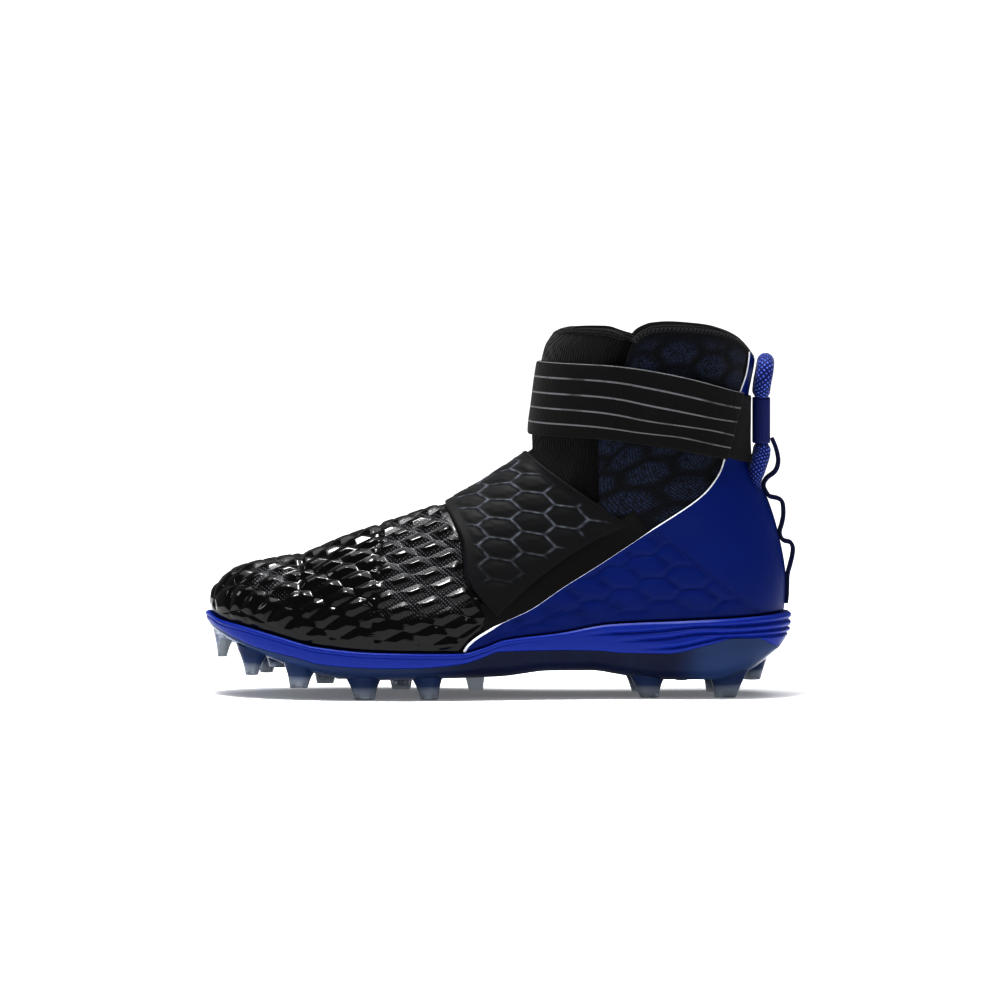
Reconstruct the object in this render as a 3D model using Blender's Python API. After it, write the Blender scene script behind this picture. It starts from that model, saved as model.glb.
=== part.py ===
"""American football cleat, left shoe: a high-cut upper on a studded plate.

Frame: metres, +Z up. The toe points to -X and the heel to +X. The lateral side of this
left shoe faces -Y and its medial side +Y. Z = 0 is the ground under the studs.
The sizes below are millimetres, and they become metres where a mesh is made.

The upper's outer surface is one function, surface(angle, level). A level is a ring that
runs round the shoe from a point on its front line to a point on its back line: level 0 is
the feather line on the sole, level 1 the collar. The angle is 0 at the front line and pi
at the back line, positive on the lateral side and negative on the medial side. The upper,
tongue, wrap, straps and panels are all cut between two offsets of that surface.
"""

import bisect
import math
from collections import namedtuple

import bmesh
import bpy
from mathutils import Vector
from mathutils.bvhtree import BVHTree

MM = 0.001
GAP = 0.45          # air between straps and what they lie on
PANEL_GAP = 0.5     # air between the wide curved panels and the upper
CLEARANCE = 0.3     # least air between a layer and the flat faces of what it lies on
REACH = 4.0         # how far from a layer the faces under it are looked for
CLEARING_PASSES = 4
FACE_PROBES = ((0.5, 0.5, 0.0), (0.0, 0.5, 0.5), (0.5, 0.0, 0.5), (1 / 3, 1 / 3, 1 / 3))
FACING = 0.7        # least agreement between two faces that lie over each other

# Walls and layers
WALL = 2.6          # upper's wall
COLLAR_WALL = 4.0   # padded wall at the collar
SKIN = 1.0          # moulded and fabric panels over the upper
PANEL_OUTER = PANEL_GAP + SKIN
TONGUE_UNDERLAP = 3.8
TONGUE_UNDERLAP_TOP = 4.9
TONGUE_DEPTH = 7.4
TONGUE_THINNING = 0.8
STRAP_THICKNESS = 1.8
KEEPER_THICKNESS = 1.1
INSOLE_THICKNESS = 4.2

# The lengthwise axis sits a little to the medial side, so that the sole is centred
AXIS_SHIFT = 1.6
TOE_SWING = 7.0     # how far the toe tip lies to the medial side of the axis
TOE_SWING_START = -40.0

# Rings of the upper. Side view places of each ring's front end and back end.
# level, front x, front z, back x, back z
SECTIONS = [
    (0.00, -144.9, 41.8, 140.8, 42.3),
    (0.05, -144.7, 47.0, 141.7, 51.0),
    (0.10, -143.2, 52.6, 141.8, 58.0),
    (0.15, -138.8, 57.1, 141.2, 65.0),
    (0.20, -131.5, 62.1, 139.6, 74.0),
    (0.26, -117.0, 65.9, 137.2, 84.0),
    (0.32, -98.0, 69.3, 134.3, 93.5),
    (0.38, -79.4, 76.9, 130.9, 102.0),
    (0.45, -57.0, 84.8, 126.4, 110.5),
    (0.52, -36.0, 92.0, 123.4, 118.0),
    (0.59, -14.0, 103.3, 122.8, 125.0),
    (0.65, 4.5, 114.8, 122.7, 131.0),
    (0.70, 16.2, 123.3, 122.8, 137.0),
    (0.76, 16.0, 132.5, 122.8, 143.0),
    (0.83, 17.6, 146.5, 123.0, 150.5),
    (0.90, 19.6, 161.5, 124.4, 158.5),
    (0.96, 22.4, 174.5, 125.8, 166.0),
    (1.00, 27.0, 182.0, 126.3, 171.0),
]
CREASE_LEVEL = 0.70
FEATHER_FADE = 1.6      # how fast the rings lose the feather line's toe spring
SHAPE_BLEND = 8.0       # sharpness of the join between the foot form and the shaft form
CLIMB_X = (16.2, 40.0, 70.0, 110.0, 150.0)
CLIMB_Z = (123.3, 137.0, 149.0, 159.0, 164.0)

# Top of the sole under the upper: x, height
FEATHER_LINE = [
    (-146.0, 42.0), (-140.0, 38.9), (-130.0, 36.8), (-110.0, 31.8), (-90.0, 26.9),
    (-60.0, 24.4), (-20.0, 23.8), (-8.0, 26.6), (2.0, 30.2), (30.0, 33.6),
    (55.0, 37.8), (100.0, 39.9), (143.0, 42.3),
]

# Half widths of the foot form at its feather: x, lateral, medial
FOOT_WIDTHS = [
    (-146.0, 38.0, 38.0),
    (-120.0, 41.0, 40.0),
    (-95.0, 46.0, 44.0),
    (-70.0, 49.8, 46.6),
    (-50.0, 50.6, 46.6),
    (-25.0, 48.0, 42.0),
    (0.0, 43.0, 35.5),
    (30.0, 37.5, 30.5),
    (60.0, 35.2, 30.5),
    (90.0, 35.4, 33.8),
    (115.0, 36.4, 35.6),
    (144.0, 36.4, 35.6),
]
TOE_REACH = 45.0        # length over which the toe rounds off in plan
SHAFT_REACH = 44.0      # length over which the shaft's front rounds off in plan
SHAFT_WIDTHS = [
    (40.0, 0.0), (70.0, 20.0), (95.0, 30.0), (125.0, 32.6), (150.0, 33.6),
    (170.0, 34.8), (188.0, 36.4),
]
BACK_REACH = [(42.0, 34.0), (80.0, 38.0), (120.0, 45.0), (188.0, 46.0)]
SECTION_POWER = [(-146.0, 2.5), (-90.0, 2.3), (-50.0, 1.9), (-10.0, 1.65), (60.0, 1.8)]
TUCK_DEPTH = 0.035      # share of the width that the wall tucks in at the feather
TUCK_HEIGHT = 0.25      # share of the height over which it tucks in

# Extra height of the collar ring over the straight line between its ends: share, height
COLLAR_LIFT = [
    (0.0, 0.0), (0.04, 3.5), (0.09, 5.0), (0.23, 6.2), (0.39, 7.4), (0.48, 10.2),
    (0.58, 12.4), (0.785, 13.8), (0.916, 9.8), (1.0, 0.0),
]

# Lines on the side view: x to height
CUFF_TOP = [
    (64.0, 177.5), (66.8, 180.5), (69.0, 183.0), (72.0, 185.0), (76.0, 186.4),
    (85.0, 187.1), (100.0, 186.3), (105.0, 185.7), (110.0, 184.3), (115.0, 182.4),
    (120.0, 179.3), (123.5, 175.2), (125.2, 172.8), (126.3, 171.3),
]
TONGUE_TOP = [
    (27.0, 182.9), (31.0, 184.4), (36.0, 185.2), (50.0, 184.8), (60.0, 182.9),
    (66.0, 181.0), (76.0, 176.0),
]
STRAP_TOP = [(16.0, 167.3), (50.0, 166.4), (82.0, 162.4), (118.0, 152.6), (127.0, 149.0)]
STRAP_BOTTOM = [(15.0, 130.8), (46.0, 129.6), (82.0, 125.0), (110.0, 118.8), (127.0, 114.0)]
KEEPER_TOP = [(95.0, 153.0), (118.0, 150.8), (127.0, 149.6)]
KEEPER_BOTTOM = [(95.0, 125.0), (111.0, 120.2), (118.0, 117.6), (127.0, 115.4)]

# Lines on the side view: height to x
SLOT_EDGE = [(95.0, 49.5), (128.0, 48.8), (160.0, 59.5), (181.0, 67.2)]
PANEL_EDGE = [
    (23.0, -18.6), (27.2, -16.2), (38.2, 0.8), (44.8, 15.2), (54.8, 30.2), (67.2, 50.2),
    (83.8, 75.2), (100.8, 100.2), (106.2, 105.2), (113.0, 109.4), (117.2, 110.8),
    (152.8, 119.2), (160.8, 122.0), (168.8, 123.4), (172.0, 123.6),
]
SHELL_EDGE = [
    (23.0, -20.8), (30.0, -15.6), (36.0, -9.2), (42.0, -6.2), (50.0, -9.8),
    (59.8, -17.4), (75.2, -18.9), (90.0, -24.6), (97.0, -29.4),
]
STRAP_END = [(118.0, 110.8), (152.0, 118.4)]
KEEPER_START = [(118.0, 96.0), (152.0, 101.0)]

THROAT_FRONT = 0.62     # level of the slot's lower end at the front line
THROAT_SIDE = 0.47      # level of the slot's lower end at its edges

# Midfoot wrap on the side view: share of the way down, x, z
WRAP_FRONT = [(0.0, -27.2, 96.0), (0.36, -17.5, 75.2), (0.66, -15.6, 59.8), (1.0, -1.6, 41.6)]
WRAP_REAR = [(0.0, 13.6, 120.8), (1.0, 63.8, 86.4)]
WRAP_BULGE = 5.0        # how far the wrap's lower edge rises over a straight line

# Sole. Heights along x of the joint between midsole and outsole, and of the plate
SOLE_JOINT = [
    (-148.0, 37.6), (-140.0, 33.4), (-130.0, 29.0), (-120.0, 25.4), (-100.0, 20.8),
    (-88.0, 17.8), (-60.0, 16.3), (-40.0, 16.4), (-18.0, 18.4), (-10.0, 20.8),
    (0.0, 24.2), (30.0, 24.6), (50.0, 24.2), (60.0, 23.2), (83.0, 22.8), (104.0, 27.2),
    (117.0, 30.4), (129.0, 29.9), (138.5, 25.8), (144.0, 30.6), (148.0, 31.0),
]
PLATE_BOTTOM = [
    (-148.0, 34.0), (-140.0, 29.6), (-130.0, 25.0), (-120.0, 21.6), (-107.0, 17.2),
    (-99.0, 14.8), (-85.0, 11.4), (-68.0, 9.8), (-37.0, 10.4), (0.0, 11.3), (25.0, 13.9),
    (45.0, 13.9), (63.0, 11.3), (82.0, 9.3), (104.0, 9.3), (122.0, 12.6), (130.0, 16.6),
    (136.0, 20.4), (144.0, 27.0),
]
SOLE_LEDGE_TOE = 2.9
SOLE_LEDGE_HEEL = 4.9
GROOVE_DEPTH = 1.2
GROOVE_START = 38.0     # x where the side grooves begin
GROOVE_FULL = 66.0      # x where they have their full depth
# Midsole wall from lip to joint: share of its height, outset from the ledge, groove
MIDSOLE_WALL = [
    (0.00, -1.1, 0), (0.09, -0.1, 0), (0.21, 0.0, 0), (0.31, -0.1, 1), (0.42, -0.1, 0),
    (0.56, -0.2, 1), (0.69, -0.3, 0), (0.84, -0.6, 1), (0.93, -0.8, 0), (1.00, -1.4, 0),
]
# Outsole wall from joint to plate: share of its height, outset from the ledge
OUTSOLE_WALL = [(0.0, -1.4), (0.3, -1.9), (0.62, -4.2), (0.86, -7.6), (1.0, -11.5)]
PLATE_HOLLOW = 1.8      # how far the plate rises along its middle

# Studs: x, y, base length, base width, tip length, tip width, tip height, tip shift in x
STUDS = [
    (-137.5, 9.0, 10.0, 11.0, 5.2, 7.0, 19.8, -1.0),
    (-123.2, -17.5, 15.0, 14.0, 6.6, 8.0, 11.0, -0.8),
    (-99.2, -30.0, 16.0, 15.0, 9.2, 8.5, 5.4, -1.0),
    (-68.0, -36.5, 18.0, 16.0, 10.4, 9.0, 0.0, 0.8),
    (-36.6, -36.0, 16.0, 16.0, 9.2, 9.0, 0.0, 1.6),
    (-117.5, 29.0, 15.0, 14.0, 7.0, 8.0, 9.0, -0.5),
    (-88.0, 36.0, 16.0, 15.0, 9.0, 8.5, 3.0, -0.5),
    (-50.0, 36.0, 16.5, 15.0, 9.6, 9.0, 0.0, 0.0),
    (-13.0, 28.5, 14.0, 13.0, 7.6, 8.0, 0.0, 0.8),
    (-111.5, -5.0, 12.0, 12.0, 8.0, 8.0, 14.0, 0.0),
    (-78.5, 4.0, 12.0, 12.0, 8.0, 8.0, 7.6, 0.0),
    (-49.5, -10.0, 13.0, 12.0, 8.4, 8.0, 5.4, 0.0),
    (73.0, -21.5, 18.5, 16.0, 9.6, 9.0, 0.0, 1.6),
    (114.4, -20.5, 20.0, 16.0, 11.0, 9.0, 0.0, -2.0),
    (69.5, 20.0, 17.5, 16.0, 9.4, 9.0, 0.0, 1.6),
    (110.6, 20.5, 19.0, 16.0, 10.4, 9.0, 0.0, -1.6),
    (128.2, 0.0, 13.0, 20.0, 8.6, 12.0, 7.6, -1.8),
    (91.0, 0.0, 12.0, 14.0, 6.0, 8.0, 7.2, 0.0),
]
STUD_SIDES = 8
STUD_ROOT = 1.3         # how far a stud's root reaches into the plate

# Rope loop: half of it, from the stitched end on the side to the top on the middle plane
ROPE_RADIUS = 4.0
ROPE_RADIUS_IN_SLEEVE = 3.1
ROPE_SIDES = 8
ROPE_STANDOFF = 6.3     # height of the rope's middle over the upper at its stitched end
ROPE_END_SIDE_VIEW = [(121.0, 105.5), (123.4, 110.5)]
ROPE_ROUTE = [
    (131.4, 10.0, 116.6), (132.0, 6.4, 120.8), (131.1, 4.7, 124.8), (130.8, 4.6, 133.0),
    (130.8, 4.6, 141.0), (130.8, 4.6, 147.4), (130.8, 4.9, 150.2), (130.9, 7.2, 153.4),
    (131.4, 9.2, 157.2), (132.2, 9.4, 161.2), (132.8, 6.6, 165.2), (133.0, 0.0, 167.0),
]
SLEEVE_BOTTOM = 126.4
SLEEVE_TOP = 149.0
SLEEVE_CENTRE_X = 130.85
SLEEVE_HALF_DEPTH = 4.35
SLEEVE_HALF_WIDTH = 8.9
SLEEVE_WALL = 0.8

# Heel tape: side view route of its middle, top to bottom
TAPE_WIDTH = 11.0
TAPE_THICKNESS = 1.2
TAPE_ROUTE = [
    (136.2, 128.6), (138.3, 123.4), (139.4, 117.2), (137.9, 112.2), (133.6, 108.6),
    (132.9, 105.0), (134.6, 100.8), (136.0, 99.3), (139.4, 98.5), (141.6, 96.4),
    (142.3, 90.6), (141.8, 85.8), (140.9, 81.8), (141.6, 78.6), (143.0, 77.2), (145.6, 76.5),
    (147.0, 74.2), (147.0, 70.4), (146.2, 65.6), (145.2, 60.8), (144.9, 56.0),
    (144.7, 50.0), (144.0, 46.0),
]

Station = namedtuple("Station", "angle level outer inner")
Skin = namedtuple("Skin", "tree probes")


def smooth_curve(pairs):
    """Return a smooth function through (input, value) pairs that never overshoots them."""
    inputs = [pair[0] for pair in pairs]
    values = [pair[1] for pair in pairs]
    steps = [after - before for before, after in zip(inputs, inputs[1:])]
    rises = [(b - a) / step for a, b, step in zip(values, values[1:], steps)]
    slopes = [rises[0]]
    for before, after in zip(rises, rises[1:]):
        turning = before * after <= 0.0
        slopes.append(0.0 if turning else 2.0 * before * after / (before + after))
    slopes.append(rises[-1])

    def value(place):
        place = min(max(place, inputs[0]), inputs[-1])
        index = min(bisect.bisect_right(inputs, place), len(inputs) - 1) - 1
        step = steps[index]
        u = (place - inputs[index]) / step
        return (
            values[index] * (1 + 2 * u) * (1 - u) ** 2
            + slopes[index] * step * u * (1 - u) ** 2
            + values[index + 1] * u * u * (3 - 2 * u)
            + slopes[index + 1] * step * u * u * (u - 1)
        )

    return value


def column(rows, key, value):
    """Return the smooth curve of one table column over another."""
    return smooth_curve([(row[key], row[value]) for row in rows])


def blend(start, end, share):
    """Return the value at a share of the way from start to end."""
    return start + (end - start) * share


def ease(place, start, end):
    """Return a smooth step from 0 at start to 1 at end."""
    u = min(max((place - start) / (end - start), 0.0), 1.0)
    return u * u * (3 - 2 * u)


def round_end(distance, reach):
    """Return the share of full width at a distance from a rounded end."""
    if distance >= reach:
        return 1.0
    return math.sqrt(max(0.0, 1.0 - (1.0 - distance / reach) ** 2))


VAMP_ROWS = [row for row in SECTIONS if row[0] <= CREASE_LEVEL]
SHAFT_ROWS = [row for row in SECTIONS if row[0] >= CREASE_LEVEL]
VAMP_X = column(VAMP_ROWS, 0, 1)
SHAFT_Z = column(SHAFT_ROWS, 0, 2)
RIDGE_HEIGHT = smooth_curve(
    [(row[1], row[2]) for row in VAMP_ROWS[:-1]] + list(zip(CLIMB_X, CLIMB_Z))
)
SHAFT_FRONT = column(SHAFT_ROWS, 2, 1)
BACK_Z = column(SECTIONS, 0, 4)
BACK_LINE = column(SECTIONS, 4, 3)
FEATHER = smooth_curve(FEATHER_LINE)
LATERAL_WIDTH = column(FOOT_WIDTHS, 0, 1)
MEDIAL_WIDTH = column(FOOT_WIDTHS, 0, 2)
SHAFT_WIDTH = smooth_curve(SHAFT_WIDTHS)
BACK_ROUNDING = smooth_curve(BACK_REACH)
SECTION_FULLNESS = smooth_curve(SECTION_POWER)
LIFT = smooth_curve(COLLAR_LIFT)
JOINT = smooth_curve(SOLE_JOINT)
PLATE = smooth_curve(PLATE_BOTTOM)


def front_point(level):
    """Return the side view place (x, z) where a ring meets the front line."""
    if level < CREASE_LEVEL:
        x = VAMP_X(level)
        return x, RIDGE_HEIGHT(x)
    z = SHAFT_Z(level)
    return SHAFT_FRONT(z), z


def back_point(level):
    """Return the side view place (x, z) where a ring meets the back line."""
    z = BACK_Z(level)
    return BACK_LINE(z), z


def side_point(share, level):
    """Return the side view place (x, z) at a share of the way from front to back."""
    front_x, front_z = front_point(level)
    back_x, back_z = back_point(level)
    feather_x = blend(SECTIONS[0][1], SECTIONS[0][3], share)
    feather_dip = FEATHER(feather_x) - blend(SECTIONS[0][2], SECTIONS[0][4], share)
    lift = LIFT(share) * ease(level, CREASE_LEVEL, 1.0)
    x = blend(front_x, back_x, share)
    z = blend(front_z, back_z, share) + feather_dip * (1.0 - level) ** FEATHER_FADE + lift
    return x, z


def centre_line(x):
    """Return the y of the shoe's lengthwise middle, which swings medially at the toe."""
    swing = max(0.0, (TOE_SWING_START - x) / (TOE_SWING_START - SECTIONS[0][1]))
    return AXIS_SHIFT + TOE_SWING * swing * swing


def half_width(x, z, lateral):
    """Return the upper's half width on one side at a side view place."""
    feather = FEATHER(x)
    ridge = RIDGE_HEIGHT(x)
    height = min(max((z - feather) / max(ridge - feather, 0.001), 0.0), 1.0)
    width = LATERAL_WIDTH(x) if lateral else MEDIAL_WIDTH(x)
    tuck = 1.0 - TUCK_DEPTH * max(0.0, 1.0 - height / TUCK_HEIGHT) ** 2
    section = math.sqrt(1.0 - height ** SECTION_FULLNESS(x))
    foot = width * tuck * section * round_end(max(x - SECTIONS[0][1], 0.0), TOE_REACH)
    shaft = SHAFT_WIDTH(z) * round_end(max(x - SHAFT_FRONT(z), 0.0), SHAFT_REACH)
    heel = round_end(max(BACK_LINE(z) - x, 0.0), BACK_ROUNDING(z))
    return heel * (foot ** SHAPE_BLEND + shaft ** SHAPE_BLEND) ** (1.0 / SHAPE_BLEND)


def surface(angle, level):
    """Return the point of the upper's outer surface at an angle and level."""
    share = (1.0 - math.cos(angle)) / 2.0
    x, z = side_point(share, level)
    on_middle = abs(math.sin(angle)) < 1e-9
    width = 0.0 if on_middle else half_width(x, z, math.sin(angle) > 0.0)
    side = -1.0 if math.sin(angle) > 0.0 else 1.0
    return Vector((x, centre_line(x) + side * width, z))


def surface_normal(angle, level):
    """Return the outward unit normal of the upper's outer surface."""
    turn = 0.03
    climb = 0.006
    low = max(level - climb, 0.0)
    high = min(level + climb, 1.0)
    along = surface(angle + turn, level) - surface(angle - turn, level)
    up = surface(angle, high) - surface(angle, low)
    return along.cross(up).normalized()


def layer(angle, level, distance):
    """Return the point at a distance outside the upper's outer surface."""
    return surface(angle, level) + surface_normal(angle, level) * distance


def skin_of(pieces):
    """Return a search tree of made pieces, and places over their faces with a direction."""
    points = []
    faces = []
    probes = []
    for piece in pieces:
        first = len(points)
        places = [vertex.co / MM for vertex in piece.data.vertices]
        points += places
        for face in piece.data.polygons:
            corners = list(face.vertices)
            faces.append(tuple(first + corner for corner in corners))
            for start, end in zip(corners, corners[1:] + corners[:1]):
                probes.append((places[start], face.normal.copy()))
                probes.append(((places[start] + places[end]) / 2.0, face.normal.copy()))
    return Skin(BVHTree.FromPolygons(points, faces), probes)


def clear_lifts(stations, triangles, skin):
    """Return how far each station rises so that its layer's faces clear the skin below."""
    spots = [surface(at.angle, at.level) for at in stations]
    normals = [surface_normal(at.angle, at.level) for at in stations]
    lifts = []
    for at, spot, normal in zip(stations, spots, normals):
        hit = skin.tree.ray_cast(spot + normal * REACH, -normal, 2.0 * REACH)
        stand = 0.0 if hit[0] is None else REACH - hit[3]
        lifts.append(max(stand + CLEARANCE - at.inner, 0.0))
    for _ in range(CLEARING_PASSES):
        inner = [
            spot + normal * (at.inner + up)
            for at, spot, normal, up in zip(stations, spots, normals, lifts)
        ]
        tree = BVHTree.FromPolygons(inner, triangles)
        raised = list(lifts)
        for place, direction in skin.probes:
            hit = tree.ray_cast(place - direction * REACH, direction, 2.0 * REACH)
            if hit[0] is None or hit[1].dot(direction) < FACING:
                continue
            short = CLEARANCE - (hit[3] - REACH)
            if short > 0.0:
                for corner in triangles[hit[2]]:
                    raised[corner] = max(raised[corner], lifts[corner] + short)
        for corners in triangles:
            for weights in FACE_PROBES:
                place = sum((inner[c] * w for c, w in zip(corners, weights)), Vector())
                normal = sum((normals[c] * w for c, w in zip(corners, weights)), Vector())
                normal.normalize()
                hit = skin.tree.ray_cast(place + normal * REACH, -normal, 2.0 * REACH)
                if hit[0] is None or hit[3] - REACH > CLEARANCE:
                    continue
                for corner in corners:
                    raised[corner] = max(
                        raised[corner], lifts[corner] + CLEARANCE - hit[3] + REACH
                    )
        lifts = raised
    return lifts


def solve(function, low, high):
    """Return the place between low and high where a rising function crosses zero."""
    for _ in range(34):
        middle = (low + high) / 2.0
        if function(middle) < 0.0:
            low = middle
        else:
            high = middle
    return (low + high) / 2.0


def level_at_line(angle, line):
    """Return the level where an angle's column reaches a line of height over x."""
    share = (1.0 - math.cos(angle)) / 2.0

    def height_above(level):
        x, z = side_point(share, level)
        return z - line(x)

    return solve(height_above, 0.3, 1.0)


def angle_at_line(level, line):
    """Return the lateral angle where a ring reaches a line of x over height."""

    def past(angle):
        x, z = side_point((1.0 - math.cos(angle)) / 2.0, level)
        return x - line(z)

    return solve(past, 0.0, math.pi)


def locate(x, z):
    """Return the lateral angle and level of a side view place."""

    def share_at(level):
        front_x = front_point(level)[0]
        back_x = back_point(level)[0]
        return min(max((x - front_x) / (back_x - front_x), 0.0), 1.0)

    level = solve(lambda trial: side_point(share_at(trial), trial)[1] - z, 0.0, 1.0)
    return math.acos(1.0 - 2.0 * share_at(level)), level


def add_material(name, colour, roughness, metallic=0.0):
    """Return a plain Principled material."""
    material = bpy.data.materials.new(name)
    material.use_nodes = True
    shader = material.node_tree.nodes["Principled BSDF"]
    shader.inputs["Base Color"].default_value = (*colour, 1.0)
    shader.inputs["Roughness"].default_value = roughness
    shader.inputs["Metallic"].default_value = metallic
    material.diffuse_color = (*colour, 1.0)
    return material


def add_object(name, points, faces, material, sharp_angle=40.0):
    """Make one closed solid from points in millimetres and faces that point outwards."""
    mesh = bpy.data.meshes.new(name)
    mesh.from_pydata([tuple(point * MM for point in place) for place in points], [], faces)
    shape = bmesh.new()
    shape.from_mesh(mesh)
    if shape.calc_volume(signed=True) < 0.0:
        bmesh.ops.reverse_faces(shape, faces=shape.faces)
    shape.to_mesh(mesh)
    shape.free()
    mesh.shade_smooth()
    mesh.set_sharp_from_angle(angle=math.radians(sharp_angle))
    mesh.materials.append(material)
    piece = bpy.data.objects.new(name, mesh)
    bpy.context.collection.objects.link(piece)
    return piece


def add_shell(name, grid, material, closed=False, missing=None, skin=None):
    """Make a solid between the outer and inner layer of a grid of stations.

    The grid is a list of rows. A closed grid joins its last column to its first.
    Cells for which missing(row, column) is true are left open, down to a wall.
    With a skin the layer rises wherever it would come too near the skin's faces.
    """
    row_count = len(grid)
    width = len(grid[0])
    cells = width if closed else width - 1
    outer_faces = []
    for row in range(row_count - 1):
        for place in range(cells):
            if missing and missing(row, place):
                continue
            after = (place + 1) % width
            low = row * width
            high = low + width
            outer_faces.append((low + place, low + after, high + after))
            outer_faces.append((low + place, high + after, high + place))
    directed = {edge for face in outer_faces for edge in zip(face, face[1:] + face[:1])}
    total = row_count * width
    faces = list(outer_faces)
    faces += [tuple(total + corner for corner in reversed(face)) for face in outer_faces]
    for start, end in sorted(directed):
        if (end, start) not in directed:
            faces.append((end, start, total + start, total + end))
    stations = [station for row in grid for station in row]
    lifts = clear_lifts(stations, outer_faces, skin) if skin else [0.0] * total
    points = [layer(at.angle, at.level, at.outer + up) for at, up in zip(stations, lifts)]
    points += [layer(at.angle, at.level, at.inner + up) for at, up in zip(stations, lifts)]
    used = sorted({corner for face in faces for corner in face})
    renumber = {old: new for new, old in enumerate(used)}
    faces = [tuple(renumber[corner] for corner in face) for face in faces]
    return add_object(name, [points[old] for old in used], faces, material)


# Upper and tongue

UPPER_COLUMNS = 54
SLOT_COLUMN = 9         # columns on each side of the front line that the slot spans
LOWER_SHARES = (0.0, 0.06, 0.14, 0.23, 0.33, 0.44, 0.57, 0.71, 0.85, 1.0)
SHAFT_SHARES = (0.12, 0.27, 0.45, 0.63, 0.8, 0.92, 1.0)


def slot_angle(level):
    """Return the angle of the throat slot's edge at a level."""
    return angle_at_line(max(level, THROAT_SIDE), smooth_curve(SLOT_EDGE))


def throat_level(angle):
    """Return the level of the slot's lower end, which falls from the front to the side."""
    side = ease(abs(angle), 0.0, slot_angle(THROAT_SIDE))
    return blend(THROAT_FRONT, THROAT_SIDE, side)


def upper_angle(place, level):
    """Return the angle of a column, drawn so that one column follows the slot's edge."""
    half = UPPER_COLUMNS // 2
    steps = place if place <= half else place - UPPER_COLUMNS
    edge = slot_angle(level)
    if abs(steps) <= SLOT_COLUMN:
        return edge * steps / SLOT_COLUMN
    past = (abs(steps) - SLOT_COLUMN) / (half - SLOT_COLUMN)
    return math.copysign(blend(edge, math.pi, past), steps)


def build_upper(material):
    """Make the hollow upper: open underneath, at the collar and at the throat slot."""
    cuff_top = smooth_curve(CUFF_TOP)
    grid = []
    for share in LOWER_SHARES:
        row = []
        for place in range(UPPER_COLUMNS):
            angle = upper_angle(place, THROAT_SIDE)
            row.append(Station(angle, throat_level(angle) * share, 0.0, -WALL))
        grid.append(row)
    for share in SHAFT_SHARES:
        row = []
        for place in range(UPPER_COLUMNS):
            angle = upper_angle(place, THROAT_SIDE)
            for _ in range(3):
                top = level_at_line(angle, cuff_top)
                level = blend(throat_level(upper_angle(place, THROAT_SIDE)), top, share)
                angle = upper_angle(place, level)
            wall = blend(WALL, COLLAR_WALL, ease(share, 0.75, 1.0))
            row.append(Station(angle, level, 0.0, -wall))
        grid.append(row)
    throat_row = len(LOWER_SHARES) - 1

    def in_slot(row, place):
        return row >= throat_row and (
            place < SLOT_COLUMN or place >= UPPER_COLUMNS - SLOT_COLUMN
        )

    return add_shell("upper", grid, material, closed=True, missing=in_slot)


TONGUE_HALF_SHARES = (0.0, 0.17, 0.34, 0.5, 0.62, 0.71, 0.82, 0.9, 1.0)
TONGUE_SPREAD = 1.16    # the tongue's edges reach this far past the slot's edges
TUCKED_ROWS = (-0.07, -0.03, 0.012)     # levels from the slot's lower end
TONGUE_ROWS = (0.0, 0.07, 0.15, 0.26, 0.4, 0.56, 0.72, 0.87, 1.0)  # shares of the rest


def build_tongue(material):
    """Make the padded tongue: flush in the slot, stepped down where the cuff covers it."""
    top_line = smooth_curve(TONGUE_TOP)
    shares = [-share for share in reversed(TONGUE_HALF_SHARES[1:])] + list(TONGUE_HALF_SHARES)
    grid_rows = TUCKED_ROWS + TONGUE_ROWS
    grid = []
    for row_place, row_share in enumerate(grid_rows):
        row = []
        for share in shares:
            angle = slot_angle(THROAT_SIDE) * TONGUE_SPREAD * share
            for _ in range(3):
                throat = throat_level(angle)
                if row_place < len(TUCKED_ROWS):
                    level = throat + row_share
                else:
                    level = blend(throat + 0.045, level_at_line(angle, top_line), row_share)
                angle = slot_angle(level) * TONGUE_SPREAD * share
            buried = 1.0 - ease(level - throat, 0.012, 0.045)
            buried = max(buried, ease(abs(share), 0.7, 0.81))
            rim = ease(row_place, len(grid_rows) - 5, len(grid_rows) - 2)
            outer = -blend(TONGUE_UNDERLAP, TONGUE_UNDERLAP_TOP, rim) * buried
            inner = -TONGUE_DEPTH + TONGUE_THINNING * rim
            row.append(Station(angle, level, outer, inner))
        grid.append(row)
    return add_shell("tongue", grid, material)


# Panels and straps on the upper

def build_forefoot_shell(material, skin):
    """Make the moulded forefoot skin, its scales raised at every second crossing."""
    edge_line = smooth_curve(SHELL_EDGE)
    half_columns = 14
    ridge_end = 0.54
    levels = [ridge_end * share for share in (
        0.04, 0.11, 0.18, 0.25, 0.32, 0.39, 0.46, 0.53, 0.6, 0.68, 0.76, 0.84, 0.92, 1.0,
    )]
    scale_height = 0.9
    grid = []
    for row_place, level in enumerate(levels):
        edge = angle_at_line(level, edge_line)
        row = []
        for step in range(-half_columns, half_columns + 1):
            border = row_place in (0, *range(len(levels) - 4, len(levels)))
            border = border or abs(step) == half_columns
            raised = (step + 2 * (row_place % 2)) % 4 == 0 and not border
            outer = PANEL_GAP + SKIN + (scale_height if raised else 0.0)
            row.append(Station(edge * step / half_columns, level, outer, PANEL_GAP))
        grid.append(row)
    return add_shell("forefoot_shell", grid, material, skin=skin)


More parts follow.
